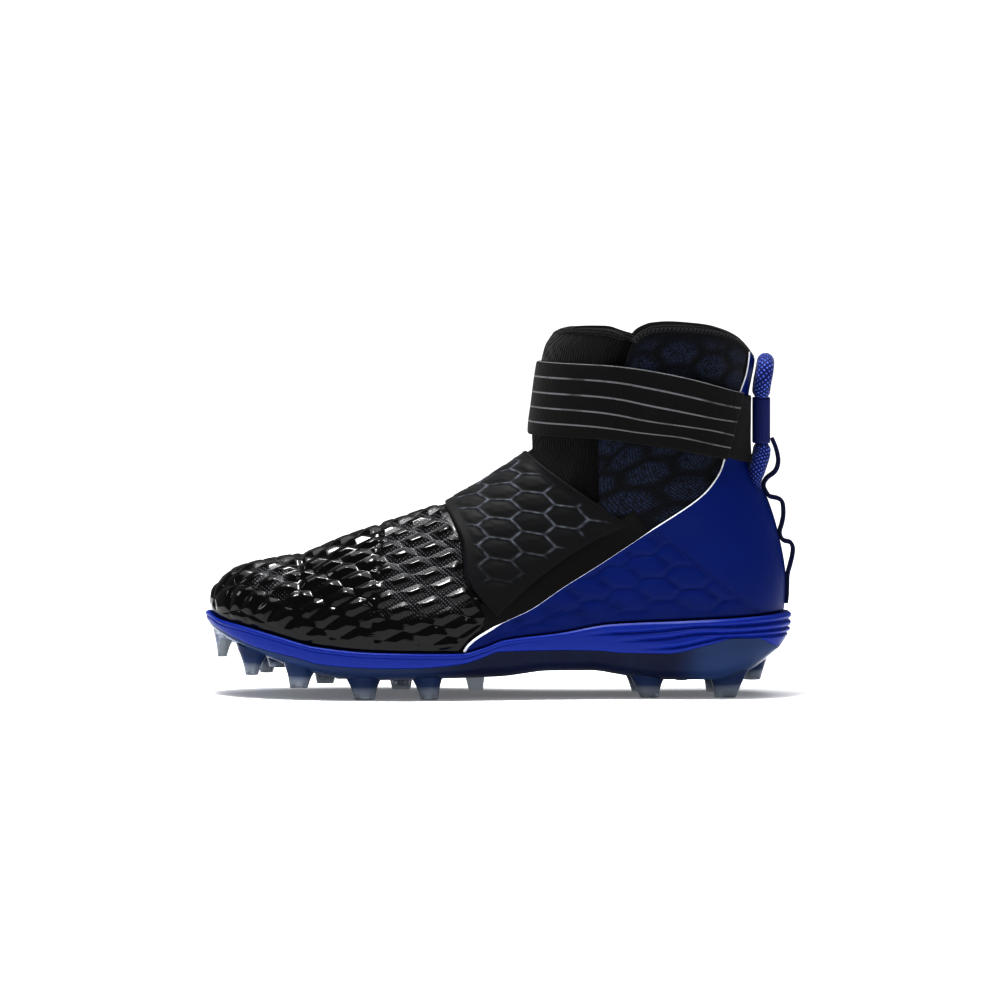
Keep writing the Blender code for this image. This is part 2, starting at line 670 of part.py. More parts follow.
def build_midfoot_wrap(material, skin):
    """Make the fabric wrap that crosses the instep from one side of the sole to the other."""
    front_x = column(WRAP_FRONT, 0, 1)
    front_z = column(WRAP_FRONT, 0, 2)
    rear_x = column(WRAP_REAR, 0, 1)
    rear_z = column(WRAP_REAR, 0, 2)
    half_rows = 13
    across = 6
    grid = []
    for step in range(-half_rows, half_rows + 1):
        down = (abs(step) / half_rows) ** 1.35
        row = []
        for place in range(across + 1):
            share = place / across
            x = blend(front_x(down), rear_x(down), share)
            z = blend(front_z(down), rear_z(down), share)
            z += WRAP_BULGE * 4.0 * share * (1.0 - share) * down * down
            if step == 0:
                level = solve(lambda trial: front_point(trial)[0] - x, 0.0, CREASE_LEVEL)
                angle = 0.0
            else:
                angle, level = locate(x, z)
            row.append(Station(math.copysign(angle, step), level, PANEL_OUTER, PANEL_GAP))
        grid.append(row)
    return add_shell("midfoot_wrap", list(zip(*grid)), material, skin=skin)


# Columns of the heel panel: shares of the way from its lateral edge to the back line,
# and on past it to the medial edge at 2
COUNTER_HALF_SHARES = (0.0, 0.11, 0.22, 0.33, 0.44, 0.54, 0.63, 0.71, 0.79, 0.86, 0.93)
COUNTER_SHARES = COUNTER_HALF_SHARES + (1.0,) + tuple(
    2.0 - share for share in reversed(COUNTER_HALF_SHARES)
)
COUNTER_TOP_DROP = 2.4  # how far the panel's top stays under the collar's edge


def build_heel_counter(material, skin):
    """Make the blue quarter and heel panel, one U from side to side round the heel."""
    edge_line = smooth_curve(PANEL_EDGE)
    top_line = smooth_curve(CUFF_TOP)
    levels = (0.02, 0.07, 0.14, 0.21, 0.28, 0.35, 0.42, 0.49, 0.56, 0.65, 0.76, 0.87, 0.94)
    grid = []
    for level in levels:
        edge = angle_at_line(level, edge_line)
        grid.append([
            Station(blend(edge, math.pi, share), level, PANEL_OUTER, PANEL_GAP)
            for share in COUNTER_SHARES
        ])
    top_row = []
    edge = angle_at_line(0.985, edge_line)
    for share in COUNTER_SHARES:
        angle = blend(edge, math.pi, share)
        level = level_at_line(angle, lambda x: top_line(x) - COUNTER_TOP_DROP)
        top_row.append(Station(angle, level, PANEL_OUTER, PANEL_GAP))
    grid.append(top_row)
    return add_shell("heel_counter", grid, material, skin=skin)


def band_level(angle, bottom_line, top_line, rise):
    """Return the level at a share of a band's width, between its two edge lines."""
    low = level_at_line(angle, bottom_line)
    high = level_at_line(angle, top_line)
    return blend(low, high, rise)


def build_ankle_strap(material, skin):
    """Make the elastic strap: round the front, its two ends lying on the keeper."""
    top_line = smooth_curve(STRAP_TOP)
    bottom_line = smooth_curve(STRAP_BOTTOM)
    end_line = smooth_curve(STRAP_END)
    half_columns = 19
    rises = (0.0, 0.5, 1.0)
    over_keeper = PANEL_OUTER + 2.0 * CLEARANCE + KEEPER_THICKNESS
    grid = []
    for rise in rises:
        row = []
        for step in range(-half_columns, half_columns + 1):
            angle = 2.3 * abs(step) / half_columns
            for _ in range(4):
                level = band_level(angle, bottom_line, top_line, rise)
                angle = angle_at_line(level, end_line) * abs(step) / half_columns
            x = side_point((1.0 - math.cos(angle)) / 2.0, level)[0]
            lift = blend(GAP, over_keeper, ease(x, 70.0, 92.0))
            row.append(Station(math.copysign(angle, step), level, lift + STRAP_THICKNESS, lift))
        grid.append(row)
    return add_shell("ankle_strap", grid, material, skin=skin)


def build_strap_keeper(material, skin):
    """Make the base strap that holds the elastic strap's ends, round the back."""
    top_line = smooth_curve(KEEPER_TOP)
    bottom_line = smooth_curve(KEEPER_BOTTOM)
    start_line = smooth_curve(KEEPER_START)
    half_columns = 12
    lift = PANEL_OUTER + CLEARANCE
    grid = []
    for rise in (0.0, 0.5, 1.0):
        row = []
        for step in range(2 * half_columns + 1):
            share = step / (2 * half_columns)
            angle = blend(2.0, 2.0 * math.pi - 2.0, share)
            for _ in range(4):
                level = band_level(angle, bottom_line, top_line, rise)
                start = angle_at_line(level, start_line)
                angle = blend(start, 2.0 * math.pi - start, share)
            row.append(Station(angle, level, lift + KEEPER_THICKNESS, lift))
        grid.append(row)
    return add_shell("strap_keeper", grid, material, skin=skin)


# Heel loop and tape

def smooth_route(points, spacing):
    """Return places about a spacing apart along a smooth curve through route points."""
    places = [Vector(point) for point in points]
    padded = [places[0] * 2 - places[1]] + places + [places[-1] * 2 - places[-2]]
    route = []
    for before, start, end, after in zip(padded, padded[1:], padded[2:], padded[3:]):
        count = max(1, round((end - start).length / spacing))
        for step in range(count):
            u = step / count
            pull = (end - before) * 0.5
            push = (after - start) * 0.5
            route.append(
                start * (2 * u ** 3 - 3 * u ** 2 + 1) + pull * (u ** 3 - 2 * u ** 2 + u)
                + end * (3 * u ** 2 - 2 * u ** 3) + push * (u ** 3 - u ** 2)
            )
    route.append(places[-1])
    return route


def route_directions(route):
    """Return the unit direction of travel at each place of a route."""
    last = len(route) - 1
    return [
        (route[min(place + 1, last)] - route[max(place - 1, 0)]).normalized()
        for place in range(len(route))
    ]


def rope_radius(z):
    """Return the rope's radius at a height: thinner inside the sleeve."""
    inside = ease(z, SLEEVE_BOTTOM - 6.0, SLEEVE_BOTTOM - 1.5)
    inside = min(inside, 1.0 - ease(z, SLEEVE_TOP + 1.5, SLEEVE_TOP + 6.0))
    return blend(ROPE_RADIUS, ROPE_RADIUS_IN_SLEEVE, inside)


def build_pull_loop(material):
    """Make the rope: up one side, through the sleeve, round the top and down again."""
    ends = [layer(*locate(x, z), ROPE_STANDOFF) for x, z in ROPE_END_SIDE_VIEW]
    half = [(end.x, AXIS_SHIFT - end.y, end.z) for end in ends] + ROPE_ROUTE
    lateral = [Vector((x, AXIS_SHIFT - y, z)) for x, y, z in half]
    medial = [Vector((x, AXIS_SHIFT + y, z)) for x, y, z in reversed(half[:-1])]
    route = smooth_route(lateral + medial, 3.6)
    directions = route_directions(route)
    side = Vector((1.0, 0.0, 0.0))
    points = []
    for place, direction in zip(route, directions):
        side = (side - direction * side.dot(direction)).normalized()
        other = direction.cross(side)
        radius = rope_radius(place.z)
        for corner in range(ROPE_SIDES):
            turn = 2.0 * math.pi * corner / ROPE_SIDES
            points.append(place + (side * math.cos(turn) + other * math.sin(turn)) * radius)
    faces = []
    for ring in range(len(route) - 1):
        for corner in range(ROPE_SIDES):
            after = (corner + 1) % ROPE_SIDES
            low = ring * ROPE_SIDES
            high = low + ROPE_SIDES
            faces.append((low + corner, low + after, high + after, high + corner))
    faces.append(tuple(reversed(range(ROPE_SIDES))))
    faces.append(tuple(range(len(points) - ROPE_SIDES, len(points))))
    return add_object("pull_loop", points, faces, material, sharp_angle=60.0)


def stadium(half_depth, half_width, steps=6):
    """Return a slot-shaped outline (x, y) with its long side along y."""
    straight = half_width - half_depth
    outline = []
    for end in (1.0, -1.0):
        for step in range(steps + 1):
            turn = math.pi * step / steps
            x = half_depth * math.cos(turn) * end
            y = (straight + half_depth * math.sin(turn)) * end
            outline.append((x, y))
    return outline


def build_pull_loop_sleeve(material):
    """Make the sleeve: a flat tube that both strands of the rope pass through."""
    outer = stadium(SLEEVE_HALF_DEPTH, SLEEVE_HALF_WIDTH)
    inner = stadium(SLEEVE_HALF_DEPTH - SLEEVE_WALL, SLEEVE_HALF_WIDTH - SLEEVE_WALL)
    count = len(outer)
    points = []
    for outline, z in ((outer, SLEEVE_BOTTOM), (outer, SLEEVE_TOP),
                       (inner, SLEEVE_TOP), (inner, SLEEVE_BOTTOM)):
        points += [(SLEEVE_CENTRE_X + x, AXIS_SHIFT + y, z) for x, y in outline]
    faces = []
    for ring in range(4):
        for corner in range(count):
            after = (corner + 1) % count
            low = ring * count
            high = (ring + 1) % 4 * count
            faces.append((low + corner, low + after, high + after, high + corner))
    return add_object("pull_loop_sleeve", points, faces, material)


def build_heel_webbing(material):
    """Make the tape down the heel, which stands off in three loops."""
    route = smooth_route([(x, 0.0, z) for x, z in TAPE_ROUTE], 3.0)
    directions = route_directions(route)
    half = TAPE_THICKNESS / 2.0
    points = []
    for place, direction in zip(route, directions):
        out = Vector((-direction.z, 0.0, direction.x)) * half
        for offset, y in ((out, -1), (out, 1), (-out, 1), (-out, -1)):
            corner = place + offset
            points.append((corner.x, AXIS_SHIFT + y * TAPE_WIDTH / 2.0, corner.z))
    faces = []
    for ring in range(len(route) - 1):
        for corner in range(4):
            after = (corner + 1) % 4
            low = ring * 4
            faces.append((low + corner, low + after, low + 4 + after, low + 4 + corner))
    faces.append((3, 2, 1, 0))
    faces.append(tuple(range(len(points) - 4, len(points))))
    return add_object("heel_webbing", points, faces, material)


# Sole and insole

LANES = (1.0, 0.5, 0.0, -0.5, -1.0)


def plan_point(angle, outset):
    """Return the plan place of the feather line at an angle, moved outwards."""
    turn = 0.02
    place = surface(angle, 0.0)
    along = surface(angle + turn, 0.0) - surface(angle - turn, 0.0)
    out = Vector((along.y, -along.x, 0.0)).normalized()
    middle = surface(math.pi / 2.0, 0.0) + surface(-math.pi / 2.0, 0.0)
    if out.dot(place - middle / 2.0) < 0.0:
        out = -out
    return place.x + out.x * outset, place.y + out.y * outset


def sole_ledge(angle):
    """Return how far the sole's lip stands out from the upper at an angle."""
    return blend(SOLE_LEDGE_TOE, SOLE_LEDGE_HEEL, (1.0 - math.cos(angle)) / 2.0)


def add_slab(name, wall, top, bottom, material, relief=None):
    """Make a slab whose wall rows follow the shoe's outline.

    Each wall row is a function of the angle that gives the share of the height and the
    outset. The top and bottom are height functions of x, ruled across the shoe, and
    relief(x, lane) is added to the bottom between its edges.
    """
    half = UPPER_COLUMNS // 2
    points = []
    for row in wall:
        for place in range(UPPER_COLUMNS):
            angle = upper_angle(place, THROAT_SIDE)
            share, outset = row(angle)
            x, y = plan_point(angle, outset)
            points.append((x, y, blend(top(x), bottom(x), share)))
    faces = []
    for ring in range(len(wall) - 1):
        for place in range(UPPER_COLUMNS):
            after = (place + 1) % UPPER_COLUMNS
            low = ring * UPPER_COLUMNS
            high = low + UPPER_COLUMNS
            faces.append((low + place, high + place, high + after, low + after))

    def cap(first, height, lanes, flip):
        strips = []
        for place in range(1, half):
            left = points[first + place]
            right = points[first + UPPER_COLUMNS - place]
            strip = [first + place]
            for lane in lanes[1:-1]:
                share = (1.0 - lane) / 2.0
                x = blend(left[0], right[0], share)
                y = blend(left[1], right[1], share)
                strip.append(len(points))
                points.append((x, y, height(x, lane)))
            strip.append(first + UPPER_COLUMNS - place)
            strips.append(strip)
        cells = []
        for lane in range(len(lanes) - 1):
            cells.append((first, strips[0][lane], strips[0][lane + 1]))
            cells.append((first + half, strips[-1][lane + 1], strips[-1][lane]))
            for before, after in zip(strips, strips[1:]):
                cells.append((before[lane], after[lane], after[lane + 1], before[lane + 1]))
        faces.extend(tuple(reversed(cell)) if flip else cell for cell in cells)

    cap(0, lambda x, lane: top(x), (1.0, -1.0), False)
    if relief:
        last = (len(wall) - 1) * UPPER_COLUMNS
        cap(last, lambda x, lane: bottom(x) + relief(x, lane), LANES, True)
    else:
        cap((len(wall) - 1) * UPPER_COLUMNS, lambda x, lane: bottom(x), (1.0, -1.0), True)
    return add_object(name, points, faces, material)


def build_insole(material):
    """Make the thin foot bed inside the upper."""
    inset = -(WALL + 1.2)
    wall = [
        lambda angle: (0.0, inset - 0.8),
        lambda angle: (0.3, inset),
        lambda angle: (1.0, inset),
    ]
    return add_slab(
        "insole", wall, lambda x: FEATHER(x) + 0.3 + INSOLE_THICKNESS,
        lambda x: FEATHER(x) + 0.3, material,
    )


def build_midsole(material):
    """Make the blue carrier band with its lip and the grooves of the heel's side."""

    def wall_row(share, outset, groove):
        def row(angle):
            x = surface(angle, 0.0).x
            depth = GROOVE_DEPTH * groove * ease(x, GROOVE_START, GROOVE_FULL)
            return share, sole_ledge(angle) + outset - depth

        return row

    wall = [wall_row(*spec) for spec in MIDSOLE_WALL]
    return add_slab(
        "midsole", wall, lambda x: FEATHER(x) - 0.35, lambda x: JOINT(x) + 0.15, material
    )


def plate_hollow(x):
    """Return how far the plate's middle rises over its edges, none of it at the toe."""
    return PLATE_HOLLOW * ease(x, -122.0, -92.0)


def stud_points(stud):
    """Return the rings of one stud, from its root in the plate to its flat tip."""
    x, y, base_length, base_width, tip_length, tip_width, tip_height, lean = stud
    rings = [(0.0, 1.0), (0.48, 0.4), (1.0, 0.0)]
    points = []
    for fall, spread in rings:
        length = blend(tip_length, base_length, spread)
        width = blend(tip_width, base_width, spread)
        for corner in range(STUD_SIDES):
            turn = 2.0 * math.pi * (corner + 0.5) / STUD_SIDES
            corner_x = x + lean * fall + length / 2.0 * math.cos(turn)
            corner_y = y + AXIS_SHIFT + width / 2.0 * math.sin(turn)
            root = PLATE(corner_x) + plate_hollow(corner_x) + STUD_ROOT
            points.append((corner_x, corner_y, blend(root, tip_height, fall)))
    return points


def add_stud_set(material):
    """Make every stud as one guide object, which the plate then takes in."""
    points = []
    faces = []
    for stud in STUDS:
        first = len(points)
        points += stud_points(stud)
        rings = (len(points) - first) // STUD_SIDES
        for ring in range(rings - 1):
            for corner in range(STUD_SIDES):
                after = (corner + 1) % STUD_SIDES
                low = first + ring * STUD_SIDES
                high = low + STUD_SIDES
                faces.append((low + corner, high + corner, high + after, low + after))
        faces.append(tuple(range(first, first + STUD_SIDES)))
        faces.append(tuple(reversed(range(len(points) - STUD_SIDES, len(points)))))
    guide = add_object("stud_set", points, faces, material)
    guide.hide_render = True
    guide.display_type = "WIRE"
    return guide


def build_outsole(material):
    """Make the translucent plate with its heel cup, hollow middle and fused studs."""

    def wall_row(share, outset):
        return lambda angle: (share, sole_ledge(angle) + outset)

    def hollow(x, lane):
        return plate_hollow(x) * (1.0 - lane * lane)

    wall = [wall_row(*spec) for spec in OUTSOLE_WALL]
    plate = add_slab("outsole", wall, lambda x: JOINT(x) - 0.15, PLATE, material, hollow)
    union = plate.modifiers.new("studs", "BOOLEAN")
    union.operation = "UNION"
    union.solver = "EXACT"
    union.object = add_stud_set(material)
    return plate


def main():
    """Build the shoe from the sole upwards."""
    for existing in list(bpy.data.objects):
        bpy.data.objects.remove(existing, do_unlink=True)
    build_outsole(add_material("smoky_translucent_plate", (0.045, 0.075, 0.16), 0.25))
    build_midsole(add_material("blue_midsole", (0.025, 0.045, 0.42), 0.42))
    build_insole(add_material("black_insole", (0.02, 0.02, 0.022), 0.85))
    upper = build_upper(add_material("black_mesh", (0.012, 0.013, 0.018), 0.8))
    tongue = build_tongue(add_material("black_knit", (0.012, 0.012, 0.013), 0.85))
    skin = skin_of([upper, tongue])
    build_forefoot_shell(add_material("gloss_black_skin", (0.006, 0.006, 0.008), 0.2), skin)
    build_midfoot_wrap(add_material("black_wrap_fabric", (0.012, 0.013, 0.018), 0.6), skin)
    counter = build_heel_counter(add_material("blue_panel", (0.008, 0.03, 0.36), 0.5), skin)
    skin = skin_of([upper, counter])
    keeper = build_strap_keeper(add_material("black_plain_strap", (0.018, 0.018, 0.02), 0.7), skin)
    skin = skin_of([upper, tongue, counter, keeper])
    build_ankle_strap(add_material("black_elastic", (0.014, 0.014, 0.015), 0.75), skin)
    build_pull_loop(add_material("blue_rope", (0.02, 0.05, 0.42), 0.75))
    build_pull_loop_sleeve(add_material("blue_sleeve", (0.015, 0.04, 0.36), 0.45))
    build_heel_webbing(add_material("navy_webbing", (0.012, 0.014, 0.05), 0.7))


main()
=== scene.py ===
"""A left american football cleat, dressed for its portrait.

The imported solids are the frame. Each class below is one sub-assembly of the shoe: it holds its
sizes, builds its pieces over the same form the solids follow, and gives them their finish.
Lengths in the tables are millimetres; meshes are metres. The toe points to -X, the lateral
side to -Y, and Z is 0 on the ground under the studs.
"""

from __future__ import annotations

import logging
import math
from dataclasses import dataclass, field
from enum import Enum
from typing import Callable, Iterable, Sequence

import bpy
import numpy as np
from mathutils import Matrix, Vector
from mathutils.kdtree import KDTree

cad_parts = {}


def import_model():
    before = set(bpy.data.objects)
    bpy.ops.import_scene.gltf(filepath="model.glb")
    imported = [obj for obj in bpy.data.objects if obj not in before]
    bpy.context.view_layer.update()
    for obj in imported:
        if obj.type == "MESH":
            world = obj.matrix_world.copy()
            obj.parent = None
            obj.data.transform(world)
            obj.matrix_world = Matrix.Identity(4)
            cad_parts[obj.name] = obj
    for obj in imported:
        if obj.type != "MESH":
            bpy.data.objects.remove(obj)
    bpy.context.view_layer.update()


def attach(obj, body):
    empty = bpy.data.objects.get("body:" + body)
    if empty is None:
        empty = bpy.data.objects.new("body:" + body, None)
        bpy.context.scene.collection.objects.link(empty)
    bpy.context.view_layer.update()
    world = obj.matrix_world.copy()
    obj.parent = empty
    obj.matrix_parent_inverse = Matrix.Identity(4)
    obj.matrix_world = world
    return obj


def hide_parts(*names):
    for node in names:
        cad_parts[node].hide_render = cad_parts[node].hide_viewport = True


LOG = logging.getLogger("cleat")
MM = 0.001
Array = np.ndarray
BODY = "root"
CLOTH_UV = "cloth"
MARK = "mark"


# Numbers and curves


class Curve:
    """A smooth function through (input, value) pairs that never overshoots them."""

    def __init__(self, pairs: Iterable[Sequence[float]]) -> None:
        """Store the pairs and the slope at each.

        Args:
            pairs: (input, value) rows with rising inputs.
        """
        rows = np.array([row[:2] for row in pairs], float)
        self.places = rows[:, 0]
        self.values = rows[:, 1]
        rises = np.diff(self.values) / np.diff(self.places)
        before, after = rises[:-1], rises[1:]
        total = np.where(np.abs(before + after) < 1e-12, 1.0, before + after)
        inner = np.where(before * after > 0.0, 2.0 * before * after / total, 0.0)
        self.slopes = np.concatenate([rises[:1], inner, rises[-1:]])

    def __call__(self, place: Array | float) -> Array:
        """Return the curve's value at one or many places."""
        place = np.clip(place, self.places[0], self.places[-1])
        index = np.searchsorted(self.places, place, side="right") - 1
        index = np.clip(index, 0, len(self.places) - 2)
        step = self.places[index + 1] - self.places[index]
        u = (place - self.places[index]) / step
        return (
            self.values[index] * (1 + 2 * u) * (1 - u) ** 2
            + self.slopes[index] * step * u * (1 - u) ** 2
            + self.values[index + 1] * u * u * (3 - 2 * u)
            + self.slopes[index + 1] * step * u * u * (u - 1)
        )


def column(rows: Sequence[Sequence[float]], key: int, value: int) -> Curve:
    """Return the curve of one table column over another."""
    return Curve([(row[key], row[value]) for row in rows])


def blend(start: Array | float, end: Array | float, share: Array | float) -> Array:
    """Return the value at a share of the way from start to end."""
    return start + (end - start) * share


def ease(place: Array | float, start: float | Array, end: float | Array) -> Array:
    """Return a smooth step from 0 at start to 1 at end."""
    u = np.clip((place - start) / (end - start), 0.0, 1.0)
    return u * u * (3 - 2 * u)


def round_end(distance: Array, reach: Array | float) -> Array:
    """Return the share of full width at a distance from a rounded end."""
    rest = 1.0 - np.clip(distance / reach, 0.0, 1.0)
    return np.sqrt(np.clip(1.0 - rest * rest, 0.0, 1.0))


def bell(distance: Array, width: float) -> Array:
    """Return a bump of height 1 at zero distance that is gone a few widths away."""
    return np.exp(-((distance / width) ** 2))


def travelled(points: Array, axis: int = 0) -> Array:
    """Return the distance travelled to each place along one axis of a grid of points."""
    steps = np.linalg.norm(np.diff(points, axis=axis), axis=-1)
    start = np.zeros_like(steps.take([0], axis=axis))
    return np.concatenate([start, np.cumsum(steps, axis=axis)], axis=axis)


def grid_quads(rows: int, width: int, closed: bool = False, first: int = 0) -> Array:
    """Return the corners of a grid's faces, row by row.

    Args:
        rows: rows of points.
        width: points in a row.
        closed: whether each row's last point meets its first.
        first: number of the grid's first point.

    Returns:
        N by 4 point numbers.
    """
    cells = width if closed else width - 1
    row, place = np.divmod(np.arange((rows - 1) * cells), cells)
    low, after = first + row * width, (place + 1) % width
    return np.stack([low + place, low + after, low + width + after, low + width + place], axis=1)


def solve(function: Callable[[Array], Array], low: Array | float, high: Array | float,
          shape: tuple[int, ...]) -> Array:
    """Return where a rising function crosses zero, for an array of places.

    Args:
        function: takes and returns arrays of the given shape.
        low: lower bound.
        high: upper bound.
        shape: the shape of the answer.

    Returns:
        The crossings.
    """
    low = np.broadcast_to(np.asarray(low, float), shape).copy()
    high = np.broadcast_to(np.asarray(high, float), shape).copy()
    for _ in range(26):
        middle = (low + high) / 2.0
        under = function(middle) < 0.0
        low = np.where(under, middle, low)
        high = np.where(under, high, middle)
    return (low + high) / 2.0


# Measures of the shoe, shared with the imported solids

# Rings of the upper: level, front x, front z, back x, back z
SECTIONS = [
    (0.00, -144.9, 41.8, 140.8, 42.3), (0.05, -144.7, 47.0, 141.7, 51.0),
    (0.10, -143.2, 52.6, 141.8, 58.0), (0.15, -138.8, 57.1, 141.2, 65.0),
    (0.20, -131.5, 62.1, 139.6, 74.0), (0.26, -117.0, 65.9, 137.2, 84.0),
    (0.32, -98.0, 69.3, 134.3, 93.5), (0.38, -79.4, 76.9, 130.9, 102.0),
    (0.45, -57.0, 84.8, 126.4, 110.5), (0.52, -36.0, 92.0, 123.4, 118.0),
    (0.59, -14.0, 103.3, 122.8, 125.0), (0.65, 4.5, 114.8, 122.7, 131.0),
    (0.70, 16.2, 123.3, 122.8, 137.0), (0.76, 16.0, 132.5, 122.8, 143.0),
    (0.83, 17.6, 146.5, 123.0, 150.5), (0.90, 19.6, 161.5, 124.4, 158.5),
    (0.96, 22.4, 174.5, 125.8, 166.0), (1.00, 27.0, 182.0, 126.3, 171.0),
]
CREASE_LEVEL = 0.70
FEATHER_FADE = 1.6
SHAPE_BLEND = 8.0
CLIMB = [(16.2, 123.3), (40.0, 137.0), (70.0, 149.0), (110.0, 159.0), (150.0, 164.0)]
# Top of the sole under the upper: x, height
FEATHER_LINE = [
    (-146.0, 42.0), (-140.0, 38.9), (-130.0, 36.8), (-110.0, 31.8), (-90.0, 26.9),
    (-60.0, 24.4), (-20.0, 23.8), (-8.0, 26.6), (2.0, 30.2), (30.0, 33.6),
    (55.0, 37.8), (100.0, 39.9), (143.0, 42.3),
]
# Half widths at the feather: x, lateral, medial
FOOT_WIDTHS = [
    (-146.0, 38.0, 38.0), (-120.0, 41.0, 40.0), (-95.0, 46.0, 44.0), (-70.0, 49.8, 46.6),
    (-50.0, 50.6, 46.6), (-25.0, 48.0, 42.0), (0.0, 43.0, 35.5), (30.0, 37.5, 30.5),
    (60.0, 35.2, 30.5), (90.0, 35.4, 33.8), (115.0, 36.4, 35.6), (144.0, 36.4, 35.6),
]
SHAFT_WIDTHS = [
    (40.0, 0.0), (70.0, 20.0), (95.0, 30.0), (125.0, 32.6), (150.0, 33.6),
    (170.0, 34.8), (188.0, 36.4),
]
BACK_REACH = [(42.0, 34.0), (80.0, 38.0), (120.0, 45.0), (188.0, 46.0)]
SECTION_POWER = [(-146.0, 2.5), (-90.0, 2.3), (-50.0, 1.9), (-10.0, 1.65), (60.0, 1.8)]
TOE_REACH = 45.0
SHAFT_REACH = 44.0
TUCK_DEPTH = 0.035
TUCK_HEIGHT = 0.25
AXIS_SHIFT = 1.6
TOE_SWING = 7.0
TOE_SWING_START = -40.0
# Extra height of the collar ring over a straight line: share, height
COLLAR_LIFT = [
    (0.0, 0.0), (0.04, 3.5), (0.09, 5.0), (0.23, 6.2), (0.39, 7.4), (0.48, 10.2),
    (0.58, 12.4), (0.785, 13.8), (0.916, 9.8), (1.0, 0.0),
]
# Lines on the side view: x, height
CUFF_TOP = [
    (64.0, 176.7), (66.8, 179.5), (69.0, 181.8), (72.0, 183.8), (76.0, 185.2),
    (85.0, 185.9), (100.0, 185.1), (105.0, 184.5), (110.0, 183.2), (115.0, 181.4),
    (120.0, 178.5), (123.5, 174.8), (125.2, 172.6), (126.3, 171.3),
]
TONGUE_TOP = [
    (27.0, 181.9), (31.0, 183.3), (36.0, 184.1), (50.0, 183.7), (60.0, 181.8),
    (66.0, 180.0), (76.0, 175.2),
]
STRAP_TOP = [(16.0, 167.3), (50.0, 166.4), (82.0, 162.4), (118.0, 152.6), (127.0, 149.0)]
STRAP_BOTTOM = [(15.0, 130.8), (46.0, 129.6), (82.0, 125.0), (110.0, 118.8), (127.0, 114.0)]
KEEPER_TOP = [(95.0, 153.0), (118.0, 150.8), (127.0, 149.6)]
KEEPER_BOTTOM = [(95.0, 125.0), (111.0, 120.2), (118.0, 117.6), (127.0, 115.4)]
# Lines on the side view: height, x
SLOT_EDGE = [(95.0, 49.5), (128.0, 48.8), (160.0, 59.5), (181.0, 67.2)]
PANEL_EDGE = [
    (23.0, -18.6), (27.2, -16.2), (38.2, 0.8), (44.8, 15.2), (54.8, 30.2), (67.2, 50.2),
    (83.8, 75.2), (100.8, 100.2), (106.2, 105.2), (113.0, 109.4), (117.2, 110.8),
    (152.8, 119.2), (160.8, 122.0), (168.8, 123.4), (172.0, 123.6),
]
SHELL_EDGE = [
    (23.0, -20.8), (30.0, -15.6), (36.0, -9.2), (42.0, -6.2), (50.0, -9.8),
    (59.8, -17.4), (75.2, -18.9), (90.0, -24.6), (97.0, -29.4),
]
STRAP_END = [(118.0, 110.8), (152.0, 118.4)]
KEEPER_START = [(118.0, 96.0), (152.0, 101.0)]
THROAT_FRONT = 0.62
THROAT_SIDE = 0.47
# Wrap on the side view: share of the way down, x, z
WRAP_FRONT = [(0.0, -27.2, 96.0), (0.36, -17.5, 75.2), (0.66, -15.6, 59.8), (1.0, -1.6, 41.6)]
WRAP_REAR = [(0.0, 13.6, 120.8), (1.0, 63.8, 86.4)]
WRAP_BULGE = 5.0
# Sole: heights along x
SOLE_JOINT = [
    (-148.0, 37.6), (-140.0, 33.4), (-130.0, 29.0), (-120.0, 25.4), (-100.0, 20.8),
    (-88.0, 17.8), (-60.0, 16.3), (-40.0, 16.4), (-18.0, 18.4), (-10.0, 20.8),
    (0.0, 24.2), (30.0, 24.6), (50.0, 24.2), (60.0, 23.2), (83.0, 22.8), (104.0, 27.2),
    (117.0, 30.4), (129.0, 29.9), (138.5, 25.8), (144.0, 30.6), (148.0, 31.0),
]
PLATE_BOTTOM = [
    (-148.0, 34.0), (-140.0, 29.6), (-130.0, 25.0), (-120.0, 21.6), (-107.0, 17.2),
    (-99.0, 14.8), (-85.0, 11.4), (-68.0, 9.8), (-37.0, 10.4), (0.0, 11.3), (25.0, 13.9),
    (45.0, 13.9), (63.0, 11.3), (82.0, 9.3), (104.0, 9.3), (122.0, 12.6), (130.0, 16.6),
    (136.0, 20.4), (144.0, 27.0),
]
MIDSOLE_WALL = [
    (0.00, -1.1), (0.09, -0.1), (0.21, 0.0), (0.42, -0.1), (0.69, -0.3), (0.93, -0.8),
    (1.00, -1.4),
]
OUTSOLE_WALL = [(0.0, -1.4), (0.3, -1.9), (0.62, -4.2), (0.86, -7.6), (1.0, -11.5)]


